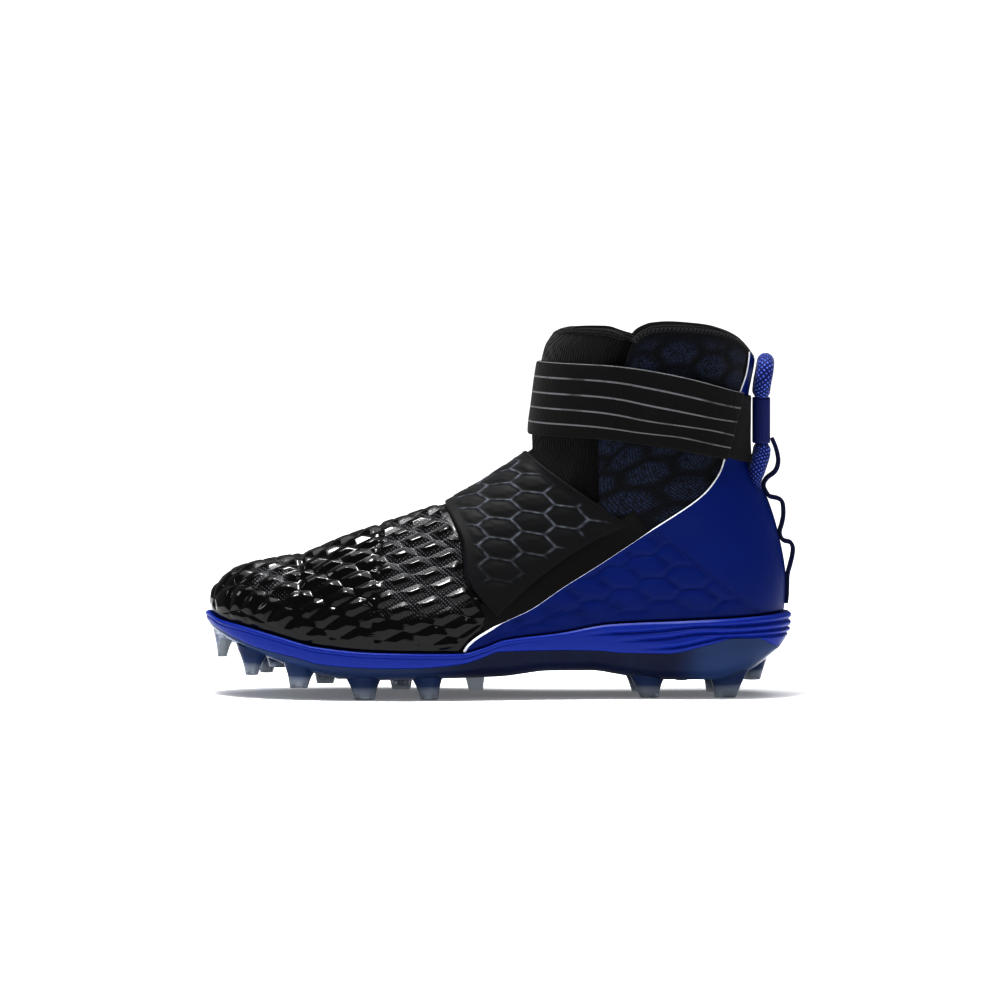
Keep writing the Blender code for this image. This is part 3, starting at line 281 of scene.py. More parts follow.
class ShoeForm:
    """The upper's outer surface as a function of an angle round the shoe and a level.

    Level 0 is the feather line on the sole and level 1 the collar. The angle is 0 at the front
    line and pi at the back line, positive on the lateral side.
    """

    def __init__(self) -> None:
        """Make the curves of the form from its tables."""
        vamp = [row for row in SECTIONS if row[0] <= CREASE_LEVEL]
        shaft = [row for row in SECTIONS if row[0] >= CREASE_LEVEL]
        self.vamp_x = column(vamp, 0, 1)
        self.shaft_z = column(shaft, 0, 2)
        self.ridge = Curve([(row[1], row[2]) for row in vamp[:-1]] + CLIMB)
        self.shaft_front = column(shaft, 2, 1)
        self.back_z = column(SECTIONS, 0, 4)
        self.back_line = column(SECTIONS, 4, 3)
        self.feather = Curve(FEATHER_LINE)
        self.lateral = column(FOOT_WIDTHS, 0, 1)
        self.medial = column(FOOT_WIDTHS, 0, 2)
        self.shaft_width = Curve(SHAFT_WIDTHS)
        self.back_reach = Curve(BACK_REACH)
        self.power = Curve(SECTION_POWER)
        self.lift = Curve(COLLAR_LIFT)

    def front(self, level: Array) -> tuple[Array, Array]:
        """Return the side view place (x, z) where rings meet the front line."""
        x_low = self.vamp_x(level)
        z_high = self.shaft_z(level)
        low = np.asarray(level) < CREASE_LEVEL
        return (
            np.where(low, x_low, self.shaft_front(z_high)),
            np.where(low, self.ridge(x_low), z_high),
        )

    def back(self, level: Array) -> tuple[Array, Array]:
        """Return the side view place (x, z) where rings meet the back line."""
        z = self.back_z(level)
        return self.back_line(z), z

    def side(self, share: Array, level: Array) -> tuple[Array, Array]:
        """Return the side view place (x, z) at shares of the way from front to back."""
        front_x, front_z = self.front(level)
        back_x, back_z = self.back(level)
        first = SECTIONS[0]
        feather_x = blend(first[1], first[3], share)
        dip = self.feather(feather_x) - blend(first[2], first[4], share)
        fade = np.clip(1.0 - level, 0.0, 1.0) ** FEATHER_FADE
        lift = self.lift(share) * ease(level, CREASE_LEVEL, 1.0)
        return blend(front_x, back_x, share), blend(front_z, back_z, share) + dip * fade + lift

    def middle(self, x: Array) -> Array:
        """Return the y of the shoe's lengthwise middle."""
        swing = np.clip((TOE_SWING_START - x) / (TOE_SWING_START - SECTIONS[0][1]), 0.0, None)
        return AXIS_SHIFT + TOE_SWING * swing * swing

    def half_width(self, x: Array, z: Array, lateral: Array) -> Array:
        """Return the half width on one side at side view places."""
        feather = self.feather(x)
        rise = np.maximum(self.ridge(x) - feather, 0.001)
        height = np.clip((z - feather) / rise, 0.0, 1.0)
        width = np.where(lateral, self.lateral(x), self.medial(x))
        tuck = 1.0 - TUCK_DEPTH * np.clip(1.0 - height / TUCK_HEIGHT, 0.0, None) ** 2
        section = np.sqrt(np.clip(1.0 - height ** self.power(x), 0.0, 1.0))
        foot = width * tuck * section * round_end(x - SECTIONS[0][1], TOE_REACH)
        shaft = self.shaft_width(z) * round_end(x - self.shaft_front(z), SHAFT_REACH)
        heel = round_end(self.back_line(z) - x, self.back_reach(z))
        return heel * (foot ** SHAPE_BLEND + shaft ** SHAPE_BLEND) ** (1.0 / SHAPE_BLEND)

    def point(self, angle: Array, level: Array) -> Array:
        """Return points of the surface, in millimetres, with the coordinate last."""
        angle, level = np.broadcast_arrays(np.asarray(angle, float), np.asarray(level, float))
        share = (1.0 - np.cos(angle)) / 2.0
        x, z = self.side(share, level)
        sine = np.sin(angle)
        width = self.half_width(x, z, sine > 0.0)
        width = np.where(np.abs(sine) < 1e-9, 0.0, width)
        return np.stack([x, self.middle(x) - np.sign(sine) * width, z], axis=-1)

    def normal(self, angle: Array, level: Array) -> Array:
        """Return outward unit normals of the surface."""
        turn, climb = 0.03, 0.006
        low = np.clip(level - climb, 0.0, 1.0)
        high = np.clip(level + climb, 0.0, 1.0)
        along = self.point(angle + turn, level) - self.point(angle - turn, level)
        up = self.point(angle, high) - self.point(angle, low)
        out = np.cross(along, up)
        return out / np.maximum(np.linalg.norm(out, axis=-1, keepdims=True), 1e-9)

    def layer(self, angle: Array, level: Array, distance: Array | float) -> Array:
        """Return points at a distance outside the surface."""
        distance = np.asarray(distance, float)[..., None]
        return self.point(angle, level) + self.normal(angle, level) * distance

    def level_at(self, angle: Array, line: Callable[[Array], Array]) -> Array:
        """Return the level where columns reach a line of height over x."""
        share = (1.0 - np.cos(angle)) / 2.0

        def above(level: Array) -> Array:
            x, z = self.side(share, level)
            return z - line(x)

        return solve(above, 0.3, 1.0, np.shape(angle))

    def angle_at(self, level: Array, line: Callable[[Array], Array]) -> Array:
        """Return the lateral angle where rings reach a line of x over height."""

        def past(angle: Array) -> Array:
            x, z = self.side((1.0 - np.cos(angle)) / 2.0, level)
            return x - line(z)

        return solve(past, 0.0, math.pi, np.shape(level))

    def locate(self, x: Array, z: Array) -> tuple[Array, Array]:
        """Return the lateral angle and level of side view places."""

        def share_at(level: Array) -> Array:
            front_x = self.front(level)[0]
            back_x = self.back(level)[0]
            return np.clip((x - front_x) / (back_x - front_x), 0.0, 1.0)

        def above(level: Array) -> Array:
            return self.side(share_at(level), level)[1] - z

        level = solve(above, 0.0, 1.0, np.shape(x))
        return np.arccos(1.0 - 2.0 * share_at(level)), level

    def slot_angle(self, level: Array) -> Array:
        """Return the angle of the throat slot's edge at levels."""
        return self.angle_at(np.maximum(level, THROAT_SIDE), Curve(SLOT_EDGE))

    def throat_level(self, angle: Array) -> Array:
        """Return the level of the slot's lower end at angles."""
        edge = float(self.slot_angle(np.array([THROAT_SIDE]))[0])
        return blend(THROAT_FRONT, THROAT_SIDE, ease(np.abs(angle), 0.0, edge))


FORM = ShoeForm()


# Meshes


def link_mesh(name: str, points: Array, faces: Sequence[Sequence[int]],
              uv: Array | None = None, sharp: float = 60.0,
              mark: Array | None = None) -> bpy.types.Object:
    """Make an object from points in millimetres, with its faces turned outwards.

    Args:
        name: the piece's name.
        points: N by 3 array.
        faces: corner indices, all wound the same way.
        uv: N by 2 array in millimetres, one place for each point.
        sharp: angle in degrees over which an edge shades sharp.
        mark: how strongly each point carries the finish's own pattern, from 0 to 1.

    Returns:
        The linked object.
    """
    counts = np.array([len(face) for face in faces])
    corners = np.fromiter((corner for face in faces for corner in face), int)
    starts = np.concatenate([[0], np.cumsum(counts)[:-1]])
    volume = 0.0
    first = points[corners[starts]]
    for step in range(1, int(counts.max()) - 1):
        has = counts > step + 1
        one = points[corners[(starts + step)[has]]]
        two = points[corners[(starts + step + 1)[has]]]
        volume += float(np.einsum("ij,ij->", first[has], np.cross(one, two)))
    if volume < 0.0:
        ends = starts + counts
        corners = np.concatenate(
            [corners[start:end][::-1] for start, end in zip(starts, ends)]
        )
    mesh = bpy.data.meshes.new(name)
    mesh.vertices.add(len(points))
    mesh.vertices.foreach_set("co", (points * MM).astype(np.float32).ravel())
    mesh.loops.add(len(corners))
    mesh.loops.foreach_set("vertex_index", corners.astype(np.int32))
    mesh.polygons.add(len(counts))
    mesh.polygons.foreach_set("loop_start", starts.astype(np.int32))
    mesh.update(calc_edges=True)
    if uv is not None:
        layer = mesh.uv_layers.new(name=CLOTH_UV)
        layer.data.foreach_set("uv", (uv * MM)[corners].astype(np.float32).ravel())
    if mark is not None:
        store(mesh, MARK, mark)
    mesh.validate()
    mesh.shade_smooth()
    mesh.set_sharp_from_angle(angle=math.radians(sharp))
    piece = bpy.data.objects.new(name, mesh)
    bpy.context.scene.collection.objects.link(piece)
    return piece


def store(mesh: bpy.types.Mesh, name: str, values: Array) -> None:
    """Store one number at each point of a mesh, for its finish to read."""
    layer = mesh.attributes.new(name, "FLOAT", "POINT")
    layer.data.foreach_set("value", values.astype(np.float32))


def vertex_places(mesh: bpy.types.Mesh) -> Array:
    """Return the places of a mesh's points, in the mesh's own unit."""
    places = np.zeros(len(mesh.vertices) * 3, np.float32)
    mesh.vertices.foreach_get("co", places)
    return places.reshape(-1, 3)


def arc_chart(points: Array, closed: bool) -> Array:
    """Return a chart of a grid of points: distance along rows and up columns.

    Args:
        points: rows by columns by 3.
        closed: whether the last column meets the first.

    Returns:
        rows by columns by 2, with the rows' distance counted from the middle column, or from
        the first one on a closed grid, where the second half counts negative.
    """
    along = travelled(points, 1)
    width = points.shape[1]
    if closed:
        last = np.linalg.norm(points[:, 0] - points[:, -1], axis=1)
        total = along[:, -1] + last
        far = np.arange(width) > width // 2
        along = np.where(far[None, :], along - total[:, None], along)
    else:
        along = along - along[:, width // 2][:, None]
    return np.stack([along, travelled(points)], axis=-1)


@dataclass
class Sheet:
    """A thin curved piece between two offsets of the form, on a grid of angles and levels."""

    angle: Array
    level: Array
    outer: Array
    inner: Array
    closed: bool = False
    missing: Array | None = None
    inner_step: int = 1     # the unseen inner side has one point for this many of the outer

    def chart(self) -> Array:
        """Return the cloth's own coordinates in millimetres over the grid."""
        return arc_chart(FORM.point(self.angle, self.level), self.closed)

    def build(self, name: str, relief: Array | float = 0.0, sharp: float = 60.0,
              mark: Array | None = None, chart: Array | None = None,
              inside: float = 1.0) -> bpy.types.Object:
        """Make the closed thin solid.

        Args:
            name: the piece's name.
            relief: height added to the outer side over the grid.
            sharp: angle in degrees over which an edge shades sharp.
            mark: how strongly the grid carries the finish's own pattern.
            chart: the cloth's own coordinates, where they aren't those of the grid.
            inside: share of the mark that the inner side carries.

        Returns:
            The linked object.
        """
        base = FORM.point(self.angle, self.level)
        normal = FORM.normal(self.angle, self.level)
        outer = base + normal * (self.outer + relief)[..., None]
        inner = base + normal * self.inner[..., None]
        chart = arc_chart(base, self.closed) if chart is None else chart
        step = self.inner_step
        points = np.concatenate([outer.reshape(-1, 3), inner[::step, ::step].reshape(-1, 3)])
        chart = np.concatenate([chart.reshape(-1, 2), chart[::step, ::step].reshape(-1, 2)])
        if mark is not None:
            mark = np.broadcast_to(mark, self.angle.shape)
            mark = np.concatenate([mark.ravel(), inside * mark[::step, ::step].ravel()])
        faces = self.open_faces() if step > 1 else self.even_faces()
        used, compact = np.unique(np.concatenate(faces), return_inverse=True)
        ends = np.cumsum([len(face) for face in faces])[:-1]
        faces = [face.tolist() for face in np.split(compact.ravel(), ends)]
        mark = mark[used] if mark is not None else None
        return link_mesh(name, points[used], faces, chart[used], sharp, mark)

    def even_faces(self) -> list[Array]:
        """Return the faces where both sides have the same grid, with holes where it misses."""
        quads = grid_quads(*self.angle.shape, self.closed)
        if self.missing is not None:
            quads = quads[~self.missing.ravel()]
        total = self.angle.size
        edges = np.concatenate([quads[:, [a, (a + 1) % 4]] for a in range(4)])
        known = set(map(tuple, edges.tolist()))
        border = np.array([edge for edge in edges.tolist() if (edge[1], edge[0]) not in known])
        rim = np.stack(
            [border[:, 1], border[:, 0], border[:, 0] + total, border[:, 1] + total], axis=1
        )
        return list(np.concatenate([quads, quads[:, ::-1] + total, rim]))

    def open_faces(self) -> list[Array]:
        """Return the faces of an open sheet whose inner side has a coarser grid."""
        rows, width = self.angle.shape
        step, total = self.inner_step, rows * width
        inner_width = (width - 1) // step + 1
        inner = grid_quads((rows - 1) // step + 1, inner_width, first=total)
        ring = [(0, c) for c in range(width - 1)]
        ring += [(r, width - 1) for r in range(rows - 1)]
        ring += [(rows - 1, c) for c in range(width - 1, 0, -1)]
        ring += [(r, 0) for r in range(rows - 1, 0, -1)]
        rim = []
        for start in range(0, len(ring), step):
            part = [ring[(start + number) % len(ring)] for number in range(step + 1)]
            face = [r * width + c for r, c in reversed(part)]
            face += [total + r // step * inner_width + c // step for r, c in (part[0], part[-1])]
            rim.append(np.array(face))
        return list(grid_quads(rows, width)) + list(inner[:, ::-1]) + rim


def edged(count: int, margin: float = 0.012) -> Array:
    """Return shares from 0 to 1 with extra places close to both ends."""
    near = margin * np.array([0.0, 0.08, 0.25, 0.5])
    return np.concatenate([near, np.linspace(margin, 1.0 - margin, count), 1.0 - near[::-1]])


def rounded(distance: Array, radius: float) -> Array:
    """Return how much of its thickness an edge has at a distance from the border."""
    return 0.25 + 0.75 * round_end(distance, radius)


def border_distance(points: Array) -> Array:
    """Return each grid point's rough distance to the grid's border, in millimetres."""
    up, along = travelled(points), travelled(points, 1)
    nearest = np.minimum(up, up[-1:] - up)
    return np.minimum(nearest, np.minimum(along, along[:, -1:] - along))


def hex_cells(u: Array, v: Array, length: float, height: float) -> Array:
    """Return how far places lie inside the cells of a net of long hexagons.

    Args:
        u: coordinate along the hexagons.
        v: coordinate across them.
        length: corner to corner length.
        height: side to side height.

    Returns:
        The distance to the cell's side as a share of half the height.
    """
    root = math.sqrt(3.0)
    x, y = u * 2.0 / length, v * root / height
    ax, ay = 3.0 * np.round(x / 3.0), root * np.round(y / root)
    bx = 3.0 * np.round((x - 1.5) / 3.0) + 1.5
    by = root * (np.round(y / root - 0.5) + 0.5)
    first = (x - ax) ** 2 + (y - ay) ** 2 < (x - bx) ** 2 + (y - by) ** 2
    dx, dy = x - np.where(first, ax, bx), y - np.where(first, ay, by)
    reach = np.maximum(np.abs(dy), np.maximum(
        np.abs(root / 2 * dx + dy / 2), np.abs(root / 2 * dx - dy / 2)
    ))
    return 1.0 - reach / (root / 2.0)


def sweep(name: str, path: Array, normals: Array, profile: Array,
          scale: Array | None = None, relief: Array | None = None,
          sharp: float = 60.0) -> bpy.types.Object:
    """Make a piece by drawing a profile along a path.

    Args:
        name: the piece's name.
        path: N by 3 places in millimetres.
        normals: N by 3 directions that the profile's first coordinate follows.
        profile: M by 2 places: along the normal, and across the path.
        scale: the profile's size at each place of the path.
        relief: N by M heights added away from the path.
        sharp: angle in degrees over which an edge shades sharp.

    Returns:
        The linked object.
    """
    count, corners = len(path), len(profile)
    travel = np.gradient(path, axis=0)
    travel /= np.linalg.norm(travel, axis=1, keepdims=True)
    normals = normals - travel * np.sum(normals * travel, axis=1, keepdims=True)
    normals /= np.maximum(np.linalg.norm(normals, axis=1, keepdims=True), 1e-9)
    across = np.cross(travel, normals)
    size = np.ones(count) if scale is None else scale
    shape = profile[None, :, :] * size[:, None, None]
    if relief is not None:
        length = np.maximum(np.linalg.norm(shape, axis=2, keepdims=True), 1e-6)
        shape = shape * (1.0 + relief[..., None] / length)
    points = (
        path[:, None, :] + normals[:, None, :] * shape[..., :1]
        + across[:, None, :] * shape[..., 1:]
    ).reshape(-1, 3)
    faces = grid_quads(count, corners, True).tolist()
    faces.append(list(range(corners))[::-1])
    faces.append(list(range((count - 1) * corners, count * corners)))
    along = travelled(path)
    turn = np.linalg.norm(np.roll(profile, -1, axis=0) - profile, axis=1)
    around = np.concatenate([[0.0], np.cumsum(turn)[:-1]]) * float(np.mean(size))
    uv = np.stack(np.broadcast_arrays(along[:, None], around[None, :]), axis=-1).reshape(-1, 2)
    return link_mesh(name, points, faces, uv, sharp)


def oval(depth: float, width: float, corners: int = 16, power: float = 1.0) -> Array:
    """Return an oval profile; a power under 1 squares its corners."""
    turn = 2.0 * math.pi * np.arange(corners) / corners
    return np.stack([
        depth / 2.0 * np.sign(np.cos(turn)) * np.abs(np.cos(turn)) ** power,
        width / 2.0 * np.sign(np.sin(turn)) * np.abs(np.sin(turn)) ** power,
    ], axis=1)


def smooth_route(points: Array, spacing: float) -> Array:
    """Return places about a spacing apart along a smooth curve through route points."""
    padded = np.concatenate([
        points[:1] * 2 - points[1:2], points, points[-1:] * 2 - points[-2:-1],
    ])
    route = []
    for index in range(len(points) - 1):
        before, start, end, after = padded[index:index + 4]
        count = max(1, round(float(np.linalg.norm(end - start)) / spacing))
        u = (np.arange(count) / count)[:, None]
        pull, push = (end - before) * 0.5, (after - start) * 0.5
        route.append(
            start * (2 * u ** 3 - 3 * u ** 2 + 1) + pull * (u ** 3 - 2 * u ** 2 + u)
            + end * (3 * u ** 2 - 2 * u ** 3) + push * (u ** 3 - u ** 2)
        )
    route.append(points[-1:])
    return np.concatenate(route)


def even_path(points: Array, spacing: float) -> Array:
    """Return places spaced evenly along a line of points."""
    along = travelled(points)
    wanted = np.linspace(0.0, along[-1], max(2, int(along[-1] / spacing) + 1))
    return np.stack([np.interp(wanted, along, points[:, axis]) for axis in range(3)], axis=1)


def mirror_side(points: Array) -> Array:
    """Return lateral side places moved to the same places on the medial side."""
    flipped = points.copy()
    flipped[..., 1] = 2.0 * AXIS_SHIFT - flipped[..., 1]
    return flipped


def stitch_row(name: str, path: Array, normals: Array, pitch: float,
               size: tuple[float, float, float], slant: float = 0.0) -> bpy.types.Object:
    """Lay one row of sewn stitches along a path, each a small rounded thread.

    Args:
        name: the piece's name.
        path: places along the seam in millimetres.
        normals: outward directions at those places.
        pitch: distance from stitch to stitch.
        size: length, width and height of a stitch.
        slant: turn of each stitch from the seam, in degrees.

    Returns:
        The linked object.
    """
    bpy.ops.object.select_all(action="DESELECT")
    bpy.ops.mesh.primitive_uv_sphere_add(segments=8, ring_count=5, radius=0.5)
    model = bpy.context.active_object
    pattern = np.array([vertex.co[:] for vertex in model.data.vertices]) * np.array(size)
    shapes = [list(face.vertices) for face in model.data.polygons]
    bpy.data.objects.remove(model, do_unlink=True)
    along = travelled(path)
    travel = np.gradient(path, axis=0)
    turn = math.radians(slant)
    points, faces = [], []
    for distance in np.arange(pitch / 2.0, along[-1], pitch):
        place = np.array([np.interp(distance, along, path[:, axis]) for axis in range(3)])
        ahead = np.array([np.interp(distance, along, travel[:, axis]) for axis in range(3)])
        out = np.array([np.interp(distance, along, normals[:, axis]) for axis in range(3)])
        out /= np.linalg.norm(out)
        ahead -= out * ahead.dot(out)
        ahead /= np.linalg.norm(ahead)
        across = np.cross(out, ahead)
        one = ahead * math.cos(turn) + across * math.sin(turn)
        two = np.cross(out, one)
        first = len(points) * len(pattern)
        points.append(place + pattern @ np.stack([one, two, out]))
        faces += [[first + corner for corner in face] for face in shapes]
    return link_mesh(name, np.concatenate(points), faces)


def settle(piece: bpy.types.Object, material: bpy.types.Material, slot: str,
           *nodes: str) -> None:
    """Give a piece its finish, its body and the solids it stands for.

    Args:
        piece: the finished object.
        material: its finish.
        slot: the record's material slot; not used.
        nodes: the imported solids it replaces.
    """
    piece.data.materials.clear()
    piece.data.materials.append(material)
    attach(piece, BODY)
    if nodes:
        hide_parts(*nodes)
    LOG.info("%s: %d faces", piece.name, len(piece.data.polygons))


# Finishes


def linear(code: str) -> tuple[float, float, float, float]:
    """Return an sRGB hex colour as linear red, green, blue and alpha."""
    parts = [int(code[place:place + 2], 16) / 255.0 for place in (1, 3, 5)]
    return (*[p / 12.92 if p <= 0.04045 else ((p + 0.055) / 1.055) ** 2.4 for p in parts], 1.0)


def feed(tree: bpy.types.NodeTree, node: bpy.types.Node, inputs: dict) -> None:
    """Set a node's inputs to values, or link them to sockets."""
    for key, value in inputs.items():
        if isinstance(value, bpy.types.NodeSocket):
            tree.links.new(value, node.inputs[key])
        else:
            node.inputs[key].default_value = value


def add_node(tree: bpy.types.NodeTree, kind: str, inputs: dict | None = None,
             **settings: object) -> bpy.types.Node:
    """Add a node with its settings, values and links.

    Args:
        tree: the material's node tree.
        kind: the node's type name.
        inputs: values or sockets by input name or number.
        settings: attributes of the node.

    Returns:
        The node.
    """
    node = tree.nodes.new(kind)
    for name, value in settings.items():
        setattr(node, name, value)
    feed(tree, node, inputs or {})
    return node


class Weave(Enum):
    """How the threads of a cloth lie."""

    PLAIN = "plain"
    KNIT_RIB = "knit rib"
    OPEN_MESH = "open mesh"
    BRAID = "braid"
    TWILL = "twill"


@dataclass(frozen=True)
class Cloth:
    """A woven or knitted cloth that reads the piece's own chart in metres."""

    name: str
    colour: str
    light_colour: str
    weave: Weave
    thread: float           # spacing of the pattern, mm
    relief: float           # depth of the pattern, mm
    roughness: float = 0.85
    sheen: float = 0.1
    contrast: float = 0.5   # how much of the light colour the raised threads show
    line_highlight_colour: str = ""   # painted highlight on the raised lines the piece marks

    def height(self, tree: bpy.types.NodeTree) -> bpy.types.NodeSocket:
        """Return a socket with the threads' height from 0 to 1."""
        chart = add_node(tree, "ShaderNodeUVMap", uv_map=CLOTH_UV).outputs[0]
        per_metre = 1.0 / (self.thread * MM)
        if self.weave is Weave.OPEN_MESH:
            place = add_node(tree, "ShaderNodeMapping", {
                "Vector": chart, "Scale": (per_metre, per_metre, 1.0),
                "Rotation": (0.0, 0.0, math.radians(45.0)),
            }).outputs[0]
            holes = add_node(tree, "ShaderNodeTexVoronoi", {
                "Vector": place, "Scale": 1.0, "Randomness": 0.12,
            }, voronoi_dimensions="2D").outputs["Distance"]
            return add_node(tree, "ShaderNodeMapRange", {
                "Value": holes, "From Min": 0.2, "From Max": 0.5,
            }, interpolation_type="SMOOTHSTEP").outputs[0]
        turns = {
            Weave.PLAIN: (0.0, 90.0), Weave.KNIT_RIB: (0.0, 62.0), Weave.BRAID: (38.0, -38.0),
            Weave.TWILL: (45.0, 90.0),
        }[self.weave]
        waves = []
        for number, turn in enumerate(turns):
            coarse = 3.0 if self.weave is Weave.KNIT_RIB and number else 1.0
            place = add_node(tree, "ShaderNodeMapping", {
                "Vector": chart, "Rotation": (0.0, 0.0, math.radians(turn)),
            }).outputs[0]
            waves.append(add_node(tree, "ShaderNodeTexWave", {
                "Vector": place, "Scale": 0.314 * per_metre * coarse, "Distortion": 0.0,
            }, wave_type="BANDS", bands_direction="X", wave_profile="SIN").outputs["Fac"])
        mode = "MAXIMUM" if self.weave is Weave.TWILL else "MULTIPLY"
        if self.weave is Weave.KNIT_RIB:
            soft = add_node(tree, "ShaderNodeMath", {0: waves[1], 1: 0.35, 2: 0.65},
                            operation="MULTIPLY_ADD").outputs[0]
            waves[1] = soft
        crossed = add_node(tree, "ShaderNodeMath", {0: waves[0], 1: waves[1]},
                           operation=mode).outputs[0]
        if self.weave is Weave.BRAID:
            return add_node(tree, "ShaderNodeMapRange", {
                "Value": crossed, "From Min": 0.3, "From Max": 0.62,
            }).outputs[0]
        return crossed

    def build(self) -> bpy.types.Material:
        """Return the material."""
        material, tree, shader = start_material(self.name)
        height = self.height(tree)
        place = add_node(tree, "ShaderNodeTexCoord").outputs["Object"]
        blotch = add_node(tree, "ShaderNodeTexNoise", {
            "Vector": place, "Scale": 55.0, "Detail": 3.0,
        }).outputs["Fac"]
        # Raised threads take the light colour: a painted highlight on the knit and the tape
        share = add_node(tree, "ShaderNodeMath", {0: height, 1: self.contrast},
                         operation="MULTIPLY").outputs[0]
        share = add_node(tree, "ShaderNodeMath", {0: share, 1: blotch},
                         operation="MULTIPLY").outputs[0]
        colour = add_node(tree, "ShaderNodeMix", {
            0: share, 6: linear(self.colour), 7: linear(self.light_colour),
        }, data_type="RGBA").outputs[2]
        # Where the piece marks, the colour leans to a painted highlight
        if self.line_highlight_colour:
            marked = add_node(tree, "ShaderNodeAttribute", attribute_name=MARK).outputs["Fac"]
            colour = add_node(tree, "ShaderNodeMix", {
                0: marked, 6: colour, 7: linear(self.line_highlight_colour),
            }, data_type="RGBA").outputs[2]
        rough = add_node(tree, "ShaderNodeMapRange", {
            "Value": blotch, "To Min": self.roughness - 0.08, "To Max": self.roughness + 0.08,
        }).outputs[0]
        bump = add_node(tree, "ShaderNodeBump", {
            "Height": height, "Strength": 0.8, "Distance": self.relief * MM,
        }).outputs[0]
        feed(tree, shader, {
            "Base Color": colour, "Roughness": rough, "Normal": bump, "Sheen Weight": self.sheen,
            "Sheen Roughness": 0.45, "Specular IOR Level": 0.2,
        })
        return material


def start_material(name: str) -> tuple[bpy.types.Material, bpy.types.NodeTree, bpy.types.Node]:
    """Return a new material, its tree and its shader."""
    material = bpy.data.materials.new(name)
    material.use_nodes = True
    tree = material.node_tree
    return material, tree, tree.nodes["Principled BSDF"]


@dataclass(frozen=True)
class QuiltedMesh(Cloth):
    """Spacer mesh whose navy backing shows on the raised middle of each quilted cell."""

    name: str = "spacer_mesh_black"
    colour: str = "#050608"
    light_colour: str = "#121524"
    weave: Weave = Weave.OPEN_MESH
    thread: float = 1.15
    relief: float = 0.3
    contrast: float = 0.9
    line_highlight_colour: str = ""
    backing: str = "#29344f"

    def build(self) -> bpy.types.Material:
        """Return the material, with specks of the backing between the black threads."""
        material = super().build()
        tree = material.node_tree
        shader = tree.nodes["Principled BSDF"]
        ground = shader.inputs["Base Color"].links[0].from_socket
        marked = add_node(tree, "ShaderNodeAttribute", attribute_name=MARK).outputs["Fac"]
        place = add_node(tree, "ShaderNodeTexCoord").outputs["Object"]
        patch = add_node(tree, "ShaderNodeTexNoise", {
            "Vector": place, "Scale": 800.0, "Detail": 1.0,
        }).outputs["Fac"]
        patch = add_node(tree, "ShaderNodeMapRange", {
            "Value": patch, "From Min": 0.3, "From Max": 0.6,
        }).outputs[0]
        speck = add_node(tree, "ShaderNodeMath", {0: self.height(tree), 1: patch},
                         operation="MULTIPLY").outputs[0]
        share = add_node(tree, "ShaderNodeMath", {0: marked, 1: speck},
                         operation="MULTIPLY").outputs[0]
        colour = add_node(tree, "ShaderNodeMix", {
            0: share, 6: ground, 7: linear(self.backing),
        }, data_type="RGBA").outputs[2]
        tree.links.new(colour, shader.inputs["Base Color"])
        return material


@dataclass(frozen=True)
class Moulded:
    """A moulded plastic, foam or film: even colour over a fine grain."""

    name: str
    colour: str
    roughness: float
    grain: float = 0.35         # size of the surface's grain, mm
    relief: float = 0.02        # depth of the grain, mm
    edge_colour: str = ""       # colour that worn or thin places lean to
    specular: float = 0.3
    glow: float = 0.0           # light of its own, for a floor that has to stay white

    def build(self) -> bpy.types.Material:
        """Return the material."""
        material, tree, shader = start_material(self.name)
        place = add_node(tree, "ShaderNodeTexCoord").outputs["Object"]
        grain = add_node(tree, "ShaderNodeTexNoise", {
            "Vector": place, "Scale": 0.5 / (self.grain * MM), "Detail": 2.0,
        }).outputs["Fac"]
        cloud = add_node(tree, "ShaderNodeTexNoise", {
            "Vector": place, "Scale": 28.0, "Detail": 3.0,
        }).outputs["Fac"]
        colour = add_node(tree, "ShaderNodeMix", {
            0: cloud, 6: linear(self.colour), 7: linear(self.edge_colour or self.colour),
        }, data_type="RGBA").outputs[2]
        rough = add_node(tree, "ShaderNodeMapRange", {
            "Value": cloud, "From Min": 0.3, "From Max": 0.7,
            "To Min": self.roughness * 0.85, "To Max": self.roughness * 1.15,
        }).outputs[0]
        bump = add_node(tree, "ShaderNodeBump", {
            "Height": grain, "Strength": 0.5, "Distance": self.relief * MM,
        }).outputs[0]
        feed(tree, shader, {
            "Base Color": colour, "Roughness": rough, "Normal": bump, "IOR": 1.5,
            "Specular IOR Level": self.specular, "Emission Color": linear(self.colour),
            "Emission Strength": self.glow,
        })
        return material


